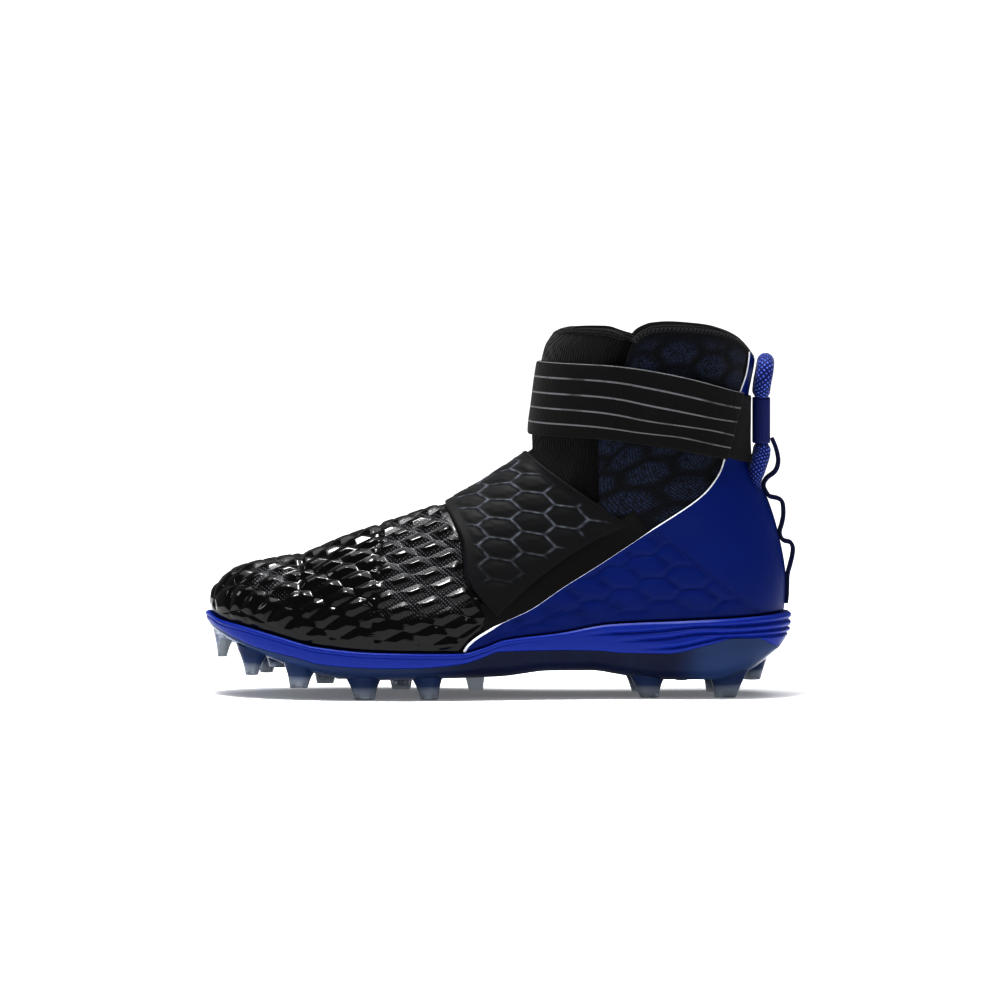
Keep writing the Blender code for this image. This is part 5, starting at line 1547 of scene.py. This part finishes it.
@dataclass
class HeelPanel:
    """The blue quarter and heel panel with its piping, seam, band and embossed front."""

    gap: float = 0.5
    thickness: float = 1.0
    low_level: float = 0.003
    top_drop: float = 2.4
    piping_radius: float = 0.55
    band_width: float = 13.0
    seam_top: tuple[float, float] = (77.5, 83.5)     # side view x, z of the seam's upper end
    seam_bottom: tuple[float, float] = (128.0, 43.0)
    net_length: float = 21.0
    net_height: float = 11.0

    def grid(self) -> tuple[Array, Array]:
        """Return the panel's angles and levels."""
        rise = edged(121, 0.012)[:, None]
        share = edged(233, 0.006)[None, :] * 2.0
        edge_line, top_line = Curve(PANEL_EDGE), Curve(CUFF_TOP)
        angle = np.broadcast_to(blend(2.2, math.pi, share), (len(rise), share.shape[1])).copy()
        level = angle
        for _ in range(4):
            folded = np.where(angle > math.pi, 2.0 * math.pi - angle, angle)
            top = FORM.level_at(folded, lambda x: top_line(x) - self.top_drop)
            level = blend(self.low_level, top, rise)
            edge = FORM.angle_at(level, edge_line)
            angle = blend(edge, math.pi, share)
        return angle, level

    def build(self, finishes: Finishes) -> None:
        """Make the panel, the piping along its upper edge and the seam on each side."""
        angle, level = self.grid()
        points = FORM.point(angle, level)
        border = border_distance(points)
        seat = np.full(angle.shape, self.gap)
        outer = seat + self.thickness * rounded(border, 1.3)
        (x0, z0), (x1, z1) = self.seam_top, self.seam_bottom
        run = math.hypot(x1 - x0, z1 - z0)
        across = ((points[..., 0] - x0) * (z1 - z0) - (points[..., 2] - z0) * (x1 - x0)) / run
        ahead = ease(across, -1.0, 4.0)
        side = hex_cells(points[..., 0] * 0.92 + points[..., 2] * 0.4, points[..., 2],
                         self.net_length, self.net_height)
        away = side * self.net_height / 2.0
        relief = -0.9 * bell(away, 0.9) * ahead * ease(border, 2.0, 6.0)
        relief = relief - 0.35 * bell(across, 0.9) * ease(border, 0.5, 2.0)
        relief = relief * (points[..., 2] < z0 + 4.0)
        piece = Sheet(angle, level, outer, seat, inner_step=4).build("heel_panel", relief)
        settle(piece, finishes["blue_panel"], "blue_panel", "heel_counter")
        self.pipe(angle, level, finishes)
        self.sew(finishes)
        self.lay_band(finishes)

    def pipe(self, angle: Array, level: Array, finishes: Finishes) -> None:
        """Lay the thin white piping along both front edges of the panel."""
        for name, col in (("lateral", 0), ("medial", -1)):
            path = FORM.layer(angle[:, col], level[:, col], np.full(len(angle), 0.95))
            path = even_path(path, 0.9)
            normals = FORM.normal(*FORM.locate(path[:, 0], path[:, 2]))
            if name == "medial":
                normals = normals * np.array([1.0, -1.0, 1.0])
            x = path[:, 0]
            scale = 0.22 + 1.0 * (1.0 - ease(x, -4.0, 3.0)) + 0.6 * ease(x, 68.0, 78.0)
            piece = sweep(f"panel_piping_{name}", path, normals,
                          oval(2 * self.piping_radius, 2.2 * self.piping_radius, 10),
                          scale=scale)
            settle(piece, finishes["piping"], "blue_panel")

    def sew(self, finishes: Finishes) -> None:
        """Sew the double seam between the quarter and the heel on each side."""
        share = np.linspace(0.02, 1.0, 60)
        for number, shift in enumerate((-1.1, 1.1)):
            x = blend(self.seam_top[0], self.seam_bottom[0], share) + shift
            z = blend(self.seam_top[1], self.seam_bottom[1], share)
            angle, level = FORM.locate(x, z)
            seat = np.full(60, self.gap + self.thickness - 0.1)
            for name, flip in (("lateral", 1.0), ("medial", -1.0)):
                path = FORM.layer(flip * angle, level, seat)
                normals = FORM.normal(flip * angle, level)
                piece = stitch_row(f"heel_seam_{name}_{number}", path, normals, 2.1,
                                   (1.4, 0.65, 0.7))
                settle(piece, finishes["blue_thread"], "blue_panel")

    def lay_band(self, finishes: Finishes) -> None:
        """Lay the smooth black band between the wrap and the panel on each side."""
        rise = edged(8, 0.08)[:, None]
        z = np.linspace(34.0, 83.0, 90)[None, :]
        x = Curve(PANEL_EDGE)(z) - blend(0.4, self.band_width, rise) * 0.55
        height = z + blend(0.3, self.band_width, rise) * 0.84
        angle, level = FORM.locate(x, height)
        for name, flip in (("lateral", 1.0), ("medial", -1.0)):
            points = FORM.point(angle * flip, level)
            border = border_distance(points)
            seat = np.full(angle.shape, 0.06)
            sheet = Sheet(angle * flip, level, seat + 0.4 * rounded(border, 0.6), seat)
            piece = sheet.build(f"side_band_{name}")
            settle(piece, finishes["band"], "black_wrap_fabric")


@dataclass
class AnkleStrap:
    """The striped elastic strap and the plain keeper strap round the back."""

    gap: float = 0.45
    clearance: float = 0.3
    thickness: float = 1.8
    keeper_thickness: float = 1.1
    panel_outer: float = 1.5

    def band(self, angle: Array, bottom: Curve, top: Curve, rise: Array) -> Array:
        """Return the level at a share of a band's width."""
        folded = np.abs(np.where(angle > math.pi, 2.0 * math.pi - angle, angle))
        return blend(FORM.level_at(folded, bottom), FORM.level_at(folded, top), rise)

    def build(self, finishes: Finishes) -> None:
        """Make the strap, its end stitches and the keeper."""
        rise = edged(45, 0.02)[:, None]
        share = edged(329, 0.006)[None, :] * 2.0 - 1.0
        angle = np.broadcast_to(2.3 * np.abs(share), (len(rise), share.shape[1])).copy()
        level = angle
        for _ in range(5):
            level = self.band(angle, Curve(STRAP_BOTTOM), Curve(STRAP_TOP), rise)
            angle = FORM.angle_at(level, Curve(STRAP_END)) * np.abs(share)
        points = FORM.point(angle, level)
        over = self.panel_outer + 2.0 * self.clearance + self.keeper_thickness
        lift = blend(self.gap, over, ease(points[..., 0], 70.0, 92.0))
        angle = angle * np.sign(share)
        border = border_distance(FORM.point(angle, level))
        strap = Sheet(angle, level, lift + self.thickness * rounded(border, 1.3), lift,
                      inner_step=4)
        piece = strap.build("elastic_ankle_strap", mark=rise)
        settle(piece, finishes["strap"], "black_elastic", "ankle_strap")
        col = -12
        seam = FORM.layer(angle[3:-3, col], level[3:-3, col], lift[3:-3, col] + self.thickness)
        normals = FORM.normal(angle[3:-3, col], level[3:-3, col])
        stitches = stitch_row("strap_end_stitches", seam, normals, 1.5, (1.2, 0.4, 0.4))
        settle(stitches, finishes["black_thread"], "black_elastic")
        self.keep(finishes)

    def keep(self, finishes: Finishes) -> None:
        """Make the keeper strap round the back."""
        rise = edged(34, 0.02)[:, None]
        share = edged(170, 0.01)[None, :]
        angle = np.broadcast_to(blend(2.0, 2.0 * math.pi - 2.0, share),
                                (len(rise), share.shape[1])).copy()
        level = angle
        for _ in range(5):
            level = self.band(angle, Curve(KEEPER_BOTTOM), Curve(KEEPER_TOP), rise)
            start = FORM.angle_at(level, Curve(KEEPER_START))
            angle = blend(start, 2.0 * math.pi - start, share)
        border = border_distance(FORM.point(angle, level))
        seat = np.full(angle.shape, self.panel_outer + self.clearance)
        keeper = Sheet(angle, level, seat + self.keeper_thickness * rounded(border, 1.0), seat)
        piece = keeper.build("keeper_strap")
        settle(piece, finishes["keeper"], "black_plain_strap", "strap_keeper")


@dataclass
class HeelLoop:
    """The braided rope, the sleeve that holds its two strands and the tape below."""

    radius: float = 4.3
    radius_in_sleeve: float = 3.1
    sleeve_bottom: float = 126.4
    sleeve_top: float = 149.0
    sleeve_x: float = 130.85
    sleeve_depth: float = 8.7
    sleeve_width: float = 17.8
    tape_width: float = 11.0
    tape_thickness: float = 1.9
    route: tuple[tuple[float, float, float], ...] = (
        (129.2, 11.4, 103.2), (128.3, 11.2, 106.2), (127.9, 10.8, 109.6), (128.5, 10.1, 113.4),
        (129.9, 8.4, 117.4), (131.0, 6.2, 121.2), (131.1, 4.7, 124.8), (130.8, 4.6, 133.0),
        (130.8, 4.6, 141.0), (130.8, 4.6, 147.4), (130.8, 4.9, 150.2), (130.9, 7.2, 153.4),
        (131.4, 9.2, 157.2), (132.2, 9.4, 161.2), (132.8, 6.6, 165.2), (133.0, 0.0, 167.0),
    )
    tape_route: tuple[tuple[float, float], ...] = (
        (136.2, 128.6), (138.3, 123.4), (139.4, 117.2), (137.9, 112.2), (133.6, 108.6),
        (132.0, 105.0), (133.9, 100.9), (135.3, 99.4), (139.2, 98.5), (141.5, 96.4),
        (142.0, 90.6), (141.2, 85.8), (140.1, 81.8), (140.9, 78.7), (142.6, 77.2),
        (145.4, 76.5), (146.7, 74.2), (146.6, 70.4), (145.4, 65.2), (144.2, 60.6),
        (144.0, 56.0), (143.8, 50.0), (143.3, 46.0),
    )

    def build(self, finishes: Finishes) -> None:
        """Make the rope, its sleeve and the looped tape."""
        self.make_rope(finishes)
        self.make_sleeve(finishes)
        self.make_tape(finishes)

    def make_rope(self, finishes: Finishes) -> None:
        """Make the rope with the relief of its braid."""
        half = np.array(self.route) * [1, -1, 1] + [0, AXIS_SHIFT, 0]
        route = np.concatenate([half, mirror_side(half[:-1])[::-1]])
        path = even_path(smooth_route(route, 1.2), 0.5)
        inside = ease(path[:, 2], self.sleeve_bottom - 3.2, self.sleeve_bottom - 0.2)
        inside = np.minimum(
            inside, 1.0 - ease(path[:, 2], self.sleeve_top + 0.2, self.sleeve_top + 3.2)
        )
        radius = blend(self.radius, self.radius_in_sleeve, inside)
        radius = radius * blend(0.42, 1.0, ease(path[:, 2], 103.0, 113.0))
        corners = 48
        along = np.arange(len(path))[:, None] * 0.5
        around = 2.0 * math.pi * np.arange(corners)[None, :] / corners
        one = np.abs(np.sin(5.0 * around + along * math.pi / 2.9))
        two = np.abs(np.sin(5.0 * around - along * math.pi / 2.9))
        relief = 0.55 * (np.maximum(one, two) - 1.0)
        normals = np.broadcast_to(np.array([1.0, 0.0, 0.0]), path.shape)
        piece = sweep("braided_pull_loop", path, normals, oval(2.0, 2.0, corners),
                      scale=radius, relief=relief, sharp=80.0)
        settle(piece, finishes["rope"], "blue_rope", "pull_loop")

    def make_sleeve(self, finishes: Finishes) -> None:
        """Make the flat tube round both strands, with fine ridges down its sides."""
        corners = 96
        half_depth = self.sleeve_depth / 2.0
        straight = self.sleeve_width / 2.0 - half_depth
        turn = 2.0 * math.pi * np.arange(corners) / corners
        outline = np.stack([
            half_depth * np.cos(turn), half_depth * np.sin(turn) + straight * np.sign(
                np.sin(turn)) * np.minimum(1.0, np.abs(np.sin(turn)) * 4.0),
        ], axis=1)
        ridge = 1.0 + 0.018 * np.cos(turn * 24)[:, None]
        inner = outline * np.array([1.0 - 0.8 / half_depth, 1.0 - 1.6 / self.sleeve_width])
        rings = [(inner, 0.0), (outline * 0.97, 0.0), (outline * ridge, 0.5)]
        rings += [(outline * ridge, share) for share in np.linspace(1.5, 21.1, 12)]
        rings += [(outline * ridge, 22.1), (outline * 0.97, 22.6), (inner, 22.6)]
        points = np.concatenate([
            np.column_stack([self.sleeve_x + ring[:, 0], AXIS_SHIFT + ring[:, 1],
                             np.full(corners, self.sleeve_bottom + rise)])
            for ring, rise in rings
        ])
        faces = grid_quads(len(rings) + 1, corners, True) % len(points)
        piece = link_mesh("rope_sleeve", points, faces.tolist(), points[:, 1:])
        settle(piece, finishes["sleeve"], "blue_sleeve", "pull_loop_sleeve")

    def make_tape(self, finishes: Finishes) -> None:
        """Make the woven tape with its three raised loops."""
        route = np.array([(x, AXIS_SHIFT, z) for x, z in self.tape_route])
        path = even_path(smooth_route(route, 0.8), 0.7)
        travel = np.gradient(path, axis=0)
        normals = np.stack([-travel[:, 2], np.zeros(len(path)), travel[:, 0]], axis=1)
        half = self.tape_width / 2.0 - 0.5
        across = np.linspace(-half, half, 13)
        top = np.column_stack([np.full(13, self.tape_thickness / 2.0), across])
        profile = np.concatenate([
            top, [[0.0, half + 0.5]], (top * [-1.0, 1.0])[::-1], [[0.0, -half - 0.5]],
        ])
        piece = sweep("looped_heel_tape", path, normals, profile, sharp=50.0)
        settle(piece, finishes["tape"], "navy_webbing", "heel_webbing")


@dataclass
class Sole:
    """The foot bed, the blue carrier and the smoky plate with its studs."""

    ledge_toe: float = 2.9
    ledge_heel: float = 4.9
    hollow: float = 1.8         # how far the plate's underside rises along its middle
    wall_room: float = 3.8      # the upper's wall and a little play, round the foot bed
    columns: int = 420
    # Side grooves of the carrier's heel: x, height, one list each
    grooves: tuple[tuple[tuple[float, float], ...], ...] = (
        ((38.3, 32.3), (73.5, 33.7), (98.0, 36.0), (115.6, 36.6), (146.0, 38.2)),
        ((54.3, 28.8), (81.2, 30.4), (98.0, 32.7), (115.6, 33.3), (146.0, 34.4)),
        ((65.8, 26.3), (73.5, 25.5), (85.0, 25.8), (99.6, 28.5), (111.8, 31.0), (130.0, 31.2),
         (146.0, 31.6)),
    )
    groove_depth: float = 1.25
    # Studs: x, y, base length, base width, tip length, tip width, tip height, tip shift in x
    studs: tuple[tuple[float, ...], ...] = (
        (-138.6, 9.0, 10.0, 11.0, 5.0, 7.0, 18.4, -1.0),
        (-123.2, -17.5, 15.0, 14.0, 6.6, 8.0, 11.0, -0.8),
        (-99.2, -30.0, 16.0, 15.0, 9.2, 8.5, 5.4, -1.0),
        (-68.0, -36.5, 18.0, 16.0, 10.4, 9.0, 0.0, 0.8),
        (-36.6, -36.0, 16.0, 16.0, 9.2, 9.0, 0.0, 1.6),
        (-117.5, 29.0, 15.0, 14.0, 7.0, 8.0, 9.0, -0.5),
        (-88.0, 36.0, 16.0, 15.0, 9.0, 8.5, 3.0, -0.5),
        (-50.0, 36.0, 16.5, 15.0, 9.6, 9.0, 0.0, 0.0),
        (-13.0, 28.5, 14.0, 13.0, 7.6, 8.0, 0.0, 0.8),
        (-111.5, -5.0, 12.0, 12.0, 8.0, 8.0, 14.0, 0.0),
        (-78.5, 4.0, 12.0, 12.0, 8.0, 8.0, 7.6, 0.0),
        (-49.5, -10.0, 13.0, 12.0, 8.4, 8.0, 5.4, 0.0),
        (73.0, -21.5, 18.5, 16.0, 9.6, 9.0, 0.0, 1.6),
        (114.4, -20.5, 20.0, 16.0, 11.0, 9.0, 0.0, -2.0),
        (69.5, 20.0, 17.5, 16.0, 9.4, 9.0, 0.0, 1.6),
        (110.6, 20.5, 19.0, 16.0, 10.4, 9.0, 0.0, -1.6),
        (128.2, 0.0, 13.0, 20.0, 8.6, 12.0, 7.6, -1.8),
        (91.0, 0.0, 12.0, 14.0, 6.0, 8.0, 7.2, 0.0),
    )
    clear_studs: tuple[int, ...] = (0, 8)
    # Flare of a stud: share of the way down, share of the base's size over the tip's
    stud_profile: tuple[tuple[float, float], ...] = (
        (0.0, 1.25), (0.16, 1.02), (0.3, 0.74), (0.5, 0.42), (0.75, 0.16), (0.93, 0.02),
        (0.985, -0.03), (1.0, -0.12),
    )
    stud_root: float = 1.3

    def outline(self, outset: Array | float) -> Array:
        """Return plan places of the feather line, moved outwards, one for each column."""
        angle = 2.0 * math.pi * np.arange(self.columns) / self.columns
        place = FORM.point(angle, np.zeros(self.columns))
        along = np.roll(place, -1, axis=0) - np.roll(place, 1, axis=0)
        out = np.stack([along[:, 1], -along[:, 0]], axis=1)
        out /= np.maximum(np.linalg.norm(out, axis=1, keepdims=True), 1e-9)
        middle = place[:, :2].mean(axis=0)
        flip = np.sum(out * (place[:, :2] - middle), axis=1) < 0.0
        out[flip] *= -1.0
        return place[:, :2] + out * np.asarray(outset)[..., None]

    def ledge(self) -> Array:
        """Return how far the lip stands out from the upper at each column."""
        angle = 2.0 * math.pi * np.arange(self.columns) / self.columns
        return blend(self.ledge_toe, self.ledge_heel, (1.0 - np.cos(angle)) / 2.0)

    def slab(self, name: str, shares: Array, outset: Callable[[Array], Array],
             top: Callable[[Array], Array], bottom: Callable[[Array], Array],
             relief: Callable[[Array, Array], Array] | None = None,
             dish: float = 0.0) -> bpy.types.Object:
        """Make a slab whose wall follows the shoe's outline.

        Args:
            name: the piece's name.
            shares: wall rows as shares of the height, from top to bottom.
            outset: outset from the lip's line at those shares.
            top: height of the top over x.
            bottom: height of the bottom over x.
            relief: outset added at the wall's x and z.
            dish: how far the bottom rises along its middle.

        Returns:
            The linked object.
        """
        rings = []
        for share, out in zip(shares, outset(shares)):
            plan = self.outline(self.ledge() + out)
            z = blend(top(plan[:, 0]), bottom(plan[:, 0]), share)
            if relief is not None:
                plan = self.outline(self.ledge() + out + relief(plan[:, 0], z))
            rings.append(np.column_stack([plan, z]))
        points = np.concatenate(rings)
        count, width = len(rings), self.columns
        faces = grid_quads(count, width, True)[:, [0, 3, 2, 1]].tolist()
        half = width // 2
        caps = ((0, top, 0.0, False), ((count - 1) * width, bottom, dish, True))
        for first, height, rise, flip in caps:
            lanes = np.linspace(1.0, -1.0, 17)
            left = points[first + 1:first + half]
            right = points[first + width - 1:first + half:-1]
            strips = []
            for lane in lanes[1:-1]:
                plan = blend(left, right, (1.0 - lane) / 2.0)
                plan[:, 2] = height(plan[:, 0]) + rise * self.past_toe(plan[:, 0]) * (
                    1.0 - lane * lane)
                strips.append(len(points) + np.arange(half - 1))
                points = np.concatenate([points, plan])
            lines = [first + np.arange(1, half)] + strips
            lines.append(first + width - np.arange(1, half))
            for one, two in zip(lines, lines[1:]):
                cells = np.stack([one[:-1], one[1:], two[1:], two[:-1]], axis=1).tolist()
                cells.append([first, int(one[0]), int(two[0])])
                cells.append([first + half, int(two[-1]), int(one[-1])])
                faces += [cell[::-1] for cell in cells] if flip else cells
        return link_mesh(name, points, faces, points[:, :2].copy(), sharp=42.0)

    def build(self, finishes: Finishes) -> None:
        """Make the foot bed, the carrier, the plate and the studs."""
        joint, plate = Curve(SOLE_JOINT), Curve(PLATE_BOTTOM)
        inset = -self.wall_room - self.ledge_toe
        bed = self.slab(
            "foot_bed", np.linspace(0.0, 1.0, 5), lambda s: inset - 1.0 - 0.8 * (s < 0.2),
            lambda x: FORM.feather(x) + 4.5, lambda x: FORM.feather(x) + 0.3,
        )
        settle(bed, finishes["insole"], "black_insole", "insole")
        wall = Curve(MIDSOLE_WALL)
        carrier = self.slab(
            "blue_carrier", edged(46, 0.05), wall, lambda x: FORM.feather(x) - 0.35,
            lambda x: joint(x) + 0.1, self.carve,
        )
        settle(carrier, finishes["carrier"], "blue_midsole", "midsole")
        under = Curve(OUTSOLE_WALL)
        body = self.slab(
            "smoky_plate", edged(30, 0.04), under, lambda x: joint(x) - 0.05, plate, None,
            self.hollow,
        )
        self.shade(body)
        settle(body, finishes["plate"], "smoky_translucent_plate", "outsole")
        studs = self.make_studs(plate)
        settle(studs, finishes["plate"], "smoky_translucent_plate")

    def past_toe(self, x: Array | float) -> Array:
        """Return the share of its depth that the plate's hollow has at x."""
        return ease(x, -122.0, -92.0)

    def carve(self, x: Array, z: Array) -> Array:
        """Return the relief of the carrier's wall: heel grooves and the forefoot lip line."""
        depth = np.zeros_like(x)
        for groove in self.grooves:
            line = Curve(groove)
            start = groove[0][0]
            fade = ease(x, start, start + 26.0)
            depth -= self.groove_depth * fade * bell(z - line(x), 0.62)
            depth += 0.35 * fade * bell(z - line(x) - 1.9, 1.1)
        lip = FORM.feather(x) - 2.6
        front = 1.0 - ease(x, -10.0, 34.0)
        return depth - 0.3 * front * bell(z - lip, 0.35)

    def shade(self, body: bpy.types.Object) -> None:
        """Store how pale and how thin the plate is at each of its points."""
        mesh = body.data
        x, _, z = (vertex_places(mesh) / MM).T
        heel = ease(x, 84.0, 104.0)
        toe = 1.0 - ease(x, -60.0, -8.0)
        low = 1.0 - ease(z, 13.0, 21.0)
        paleness = 0.75 * heel + 0.7 * toe * (1.0 - 0.4 * low) + 0.06
        store(mesh, "paleness", np.clip(paleness, 0.0, 1.0))
        store(mesh, "thinness", np.zeros(len(x)))

    def make_studs(self, plate: Curve) -> bpy.types.Object:
        """Model one stud, shape a copy of it to each row of the table and join the copies.

        Args:
            plate: height of the plate's underside over x.

        Returns:
            One object with every stud.
        """
        model = self.model_stud()
        made = []
        for number, stud in enumerate(self.studs):
            copy = model.copy()
            copy.data = model.data.copy()
            bpy.context.scene.collection.objects.link(copy)
            self.shape_stud(copy.data, stud, plate, number in self.clear_studs)
            made.append(copy)
        bpy.data.objects.remove(model, do_unlink=True)
        bpy.ops.object.select_all(action="DESELECT")
        for piece in made:
            piece.select_set(True)
        bpy.context.view_layer.objects.active = made[0]
        bpy.ops.object.join()
        studs = bpy.context.active_object
        studs.name = studs.data.name = "moulded_studs"
        bpy.ops.object.shade_smooth_by_angle(angle=math.radians(50.0))
        return studs

    def model_stud(self) -> bpy.types.Object:
        """Model a stud of unit size: a straight disc drawn down in steps, one at each fall of
        the profile.

        Returns:
            The stud, its root at height 0 and its tip at -1.
        """
        bpy.ops.object.select_all(action="DESELECT")
        bpy.ops.mesh.primitive_circle_add(vertices=28, radius=1.0, fill_type="NGON")
        stud = bpy.context.active_object
        bpy.ops.object.mode_set(mode="EDIT")
        bpy.ops.mesh.select_all(action="SELECT")
        falls = [fall for fall, _ in self.stud_profile]
        for start, end in zip(falls, falls[1:]):
            bpy.ops.mesh.extrude_region_move(
                TRANSFORM_OT_translate={"value": (0.0, 0.0, start - end)}
            )
        bpy.ops.mesh.select_all(action="SELECT")
        bpy.ops.mesh.normals_make_consistent(inside=False)
        bpy.ops.object.mode_set(mode="OBJECT")
        return stud

    def shape_stud(self, mesh: bpy.types.Mesh, stud: Sequence[float], plate: Curve,
                   clear: bool) -> None:
        """Give a copy of the unit stud its place, its flare and its clear tip.

        Args:
            mesh: the copy's mesh.
            stud: the stud's row.
            plate: height of the plate's underside over x.
            clear: whether the whole stud is clear.
        """
        x, y, base_length, base_width, tip_length, tip_width, tip, lean = stud
        unit = vertex_places(mesh).astype(float)
        fall = np.clip(-unit[:, 2], 0.0, 1.0)
        spread = np.interp(fall, *np.array(self.stud_profile).T)
        flat = np.sign(unit[:, :2]) * np.abs(unit[:, :2]) ** 0.8
        px = x + lean * fall + blend(tip_length, base_length, spread) / 2.0 * flat[:, 0]
        py = y + AXIS_SHIFT + blend(tip_width, base_width, spread) / 2.0 * flat[:, 1]
        under = plate(px) + self.hollow * self.past_toe(px) + self.stud_root
        middle = float(plate(x)) + self.hollow * float(self.past_toe(x)) + self.stud_root
        pz = blend(blend(under, middle, fall), tip, fall)
        points = np.column_stack([px, py, pz]) * MM
        mesh.vertices.foreach_set("co", points.astype(np.float32).ravel())
        thin = np.ones(len(fall)) if clear else ease(fall, 0.45, 1.0) * 0.85
        pale = 0.45 + 0.3 * ease(fall, 0.1, 0.8)
        store(mesh, "thinness", thin)
        store(mesh, "paleness", pale)


# Studio


@dataclass
class Studio:
    """The floor, the soft lights and the camera at the photograph's angle."""

    distance: float = 4.0
    elevation: float = 2.8      # degrees above the horizon
    frame_width: float = 0.5    # metres of the shoe's side across the picture
    near_side: float = 0.008    # how far before the middle plane the frame width holds
    aim_height: float = 0.0976
    sky: float = 0.28           # light of the room; the camera itself sees plain white
    ceiling: float = 2.3
    contrast: float = 0.75      # display gamma under 1 deepens the dark tones, as in the photo

    def build(self, finishes: Finishes) -> None:
        """Set the floor, the light and the camera."""
        bpy.ops.object.select_all(action="DESELECT")
        bpy.ops.mesh.primitive_plane_add(size=30.0, location=(0.0, 0.0, 0.0))
        floor = bpy.context.active_object
        floor.name = floor.data.name = "studio_floor"
        floor.data.materials.append(finishes["floor"])
        world = bpy.data.worlds.new("studio_sky")
        bpy.context.scene.world = world
        world.use_nodes = True
        tree = world.node_tree
        seen = add_node(tree, "ShaderNodeLightPath").outputs["Is Camera Ray"]
        strength = add_node(tree, "ShaderNodeMapRange", {
            "Value": seen, "To Min": self.sky, "To Max": 1.05,
        }).outputs[0]
        tree.links.new(strength, tree.nodes["Background"].inputs["Strength"])
        tree.nodes["Background"].inputs["Color"].default_value = (1.0, 1.0, 1.0, 1.0)
        ceiling = bpy.data.lights.new("ceiling_light", "SUN")
        ceiling.energy = self.ceiling
        ceiling.angle = math.radians(55.0)
        lamp = bpy.data.objects.new("ceiling_light", ceiling)
        bpy.context.scene.collection.objects.link(lamp)
        lamp.rotation_euler = (math.radians(-8.0), 0.0, 0.0)
        # name, place, size, power
        lamps = [
            ("key_softbox", (-0.2, -0.14, 1.5), 0.38, 26.0),
            ("rear_softbox", (0.9, -1.6, 1.9), 0.5, 4.0),
            ("toe_softbox", (-1.6, 0.1, 0.9), 0.3, 2.0),
        ]
        for name, place, size, power in lamps:
            light = bpy.data.lights.new(name, "AREA")
            light.size = size
            light.energy = power
            lamp = bpy.data.objects.new(name, light)
            bpy.context.scene.collection.objects.link(lamp)
            lamp.location = place
            aim = Vector((0.0, 0.0, 0.08)) - Vector(place)
            lamp.rotation_euler = aim.to_track_quat("-Z", "Y").to_euler()
        self.place_camera()
        bpy.context.scene.view_settings.view_transform = "Standard"
        bpy.context.scene.view_settings.gamma = self.contrast

    def place_camera(self) -> None:
        """Set the long lens at the photograph's height."""
        data = bpy.data.cameras.new("portrait_lens")
        data.sensor_width = 36.0
        data.lens = 36.0 * (self.distance - self.near_side) / self.frame_width
        data.clip_end = 50.0
        camera = bpy.data.objects.new("portrait_camera", data)
        bpy.context.scene.collection.objects.link(camera)
        rise = math.radians(self.elevation)
        aim = Vector((0.0, 0.0, self.aim_height))
        back = Vector((0.0, -math.cos(rise), math.sin(rise)))
        camera.location = aim + back * self.distance
        camera.rotation_euler = (-back).to_track_quat("-Z", "Y").to_euler()
        bpy.context.scene.camera = camera


def main() -> None:
    """Load the frame and build the shoe and its studio."""
    logging.basicConfig(level=logging.INFO, format="%(name)s: %(message)s")
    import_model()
    finishes = Finishes()
    Studio().build(finishes)
    for part in (Sole(), Upper(), Tongue(), ForefootSkin(), InstepWrap(), HeelPanel(),
                 AnkleStrap(), HeelLoop()):
        LOG.info("building %s", type(part).__name__)
        part.build(finishes)


if __name__ == "__main__":
    main()
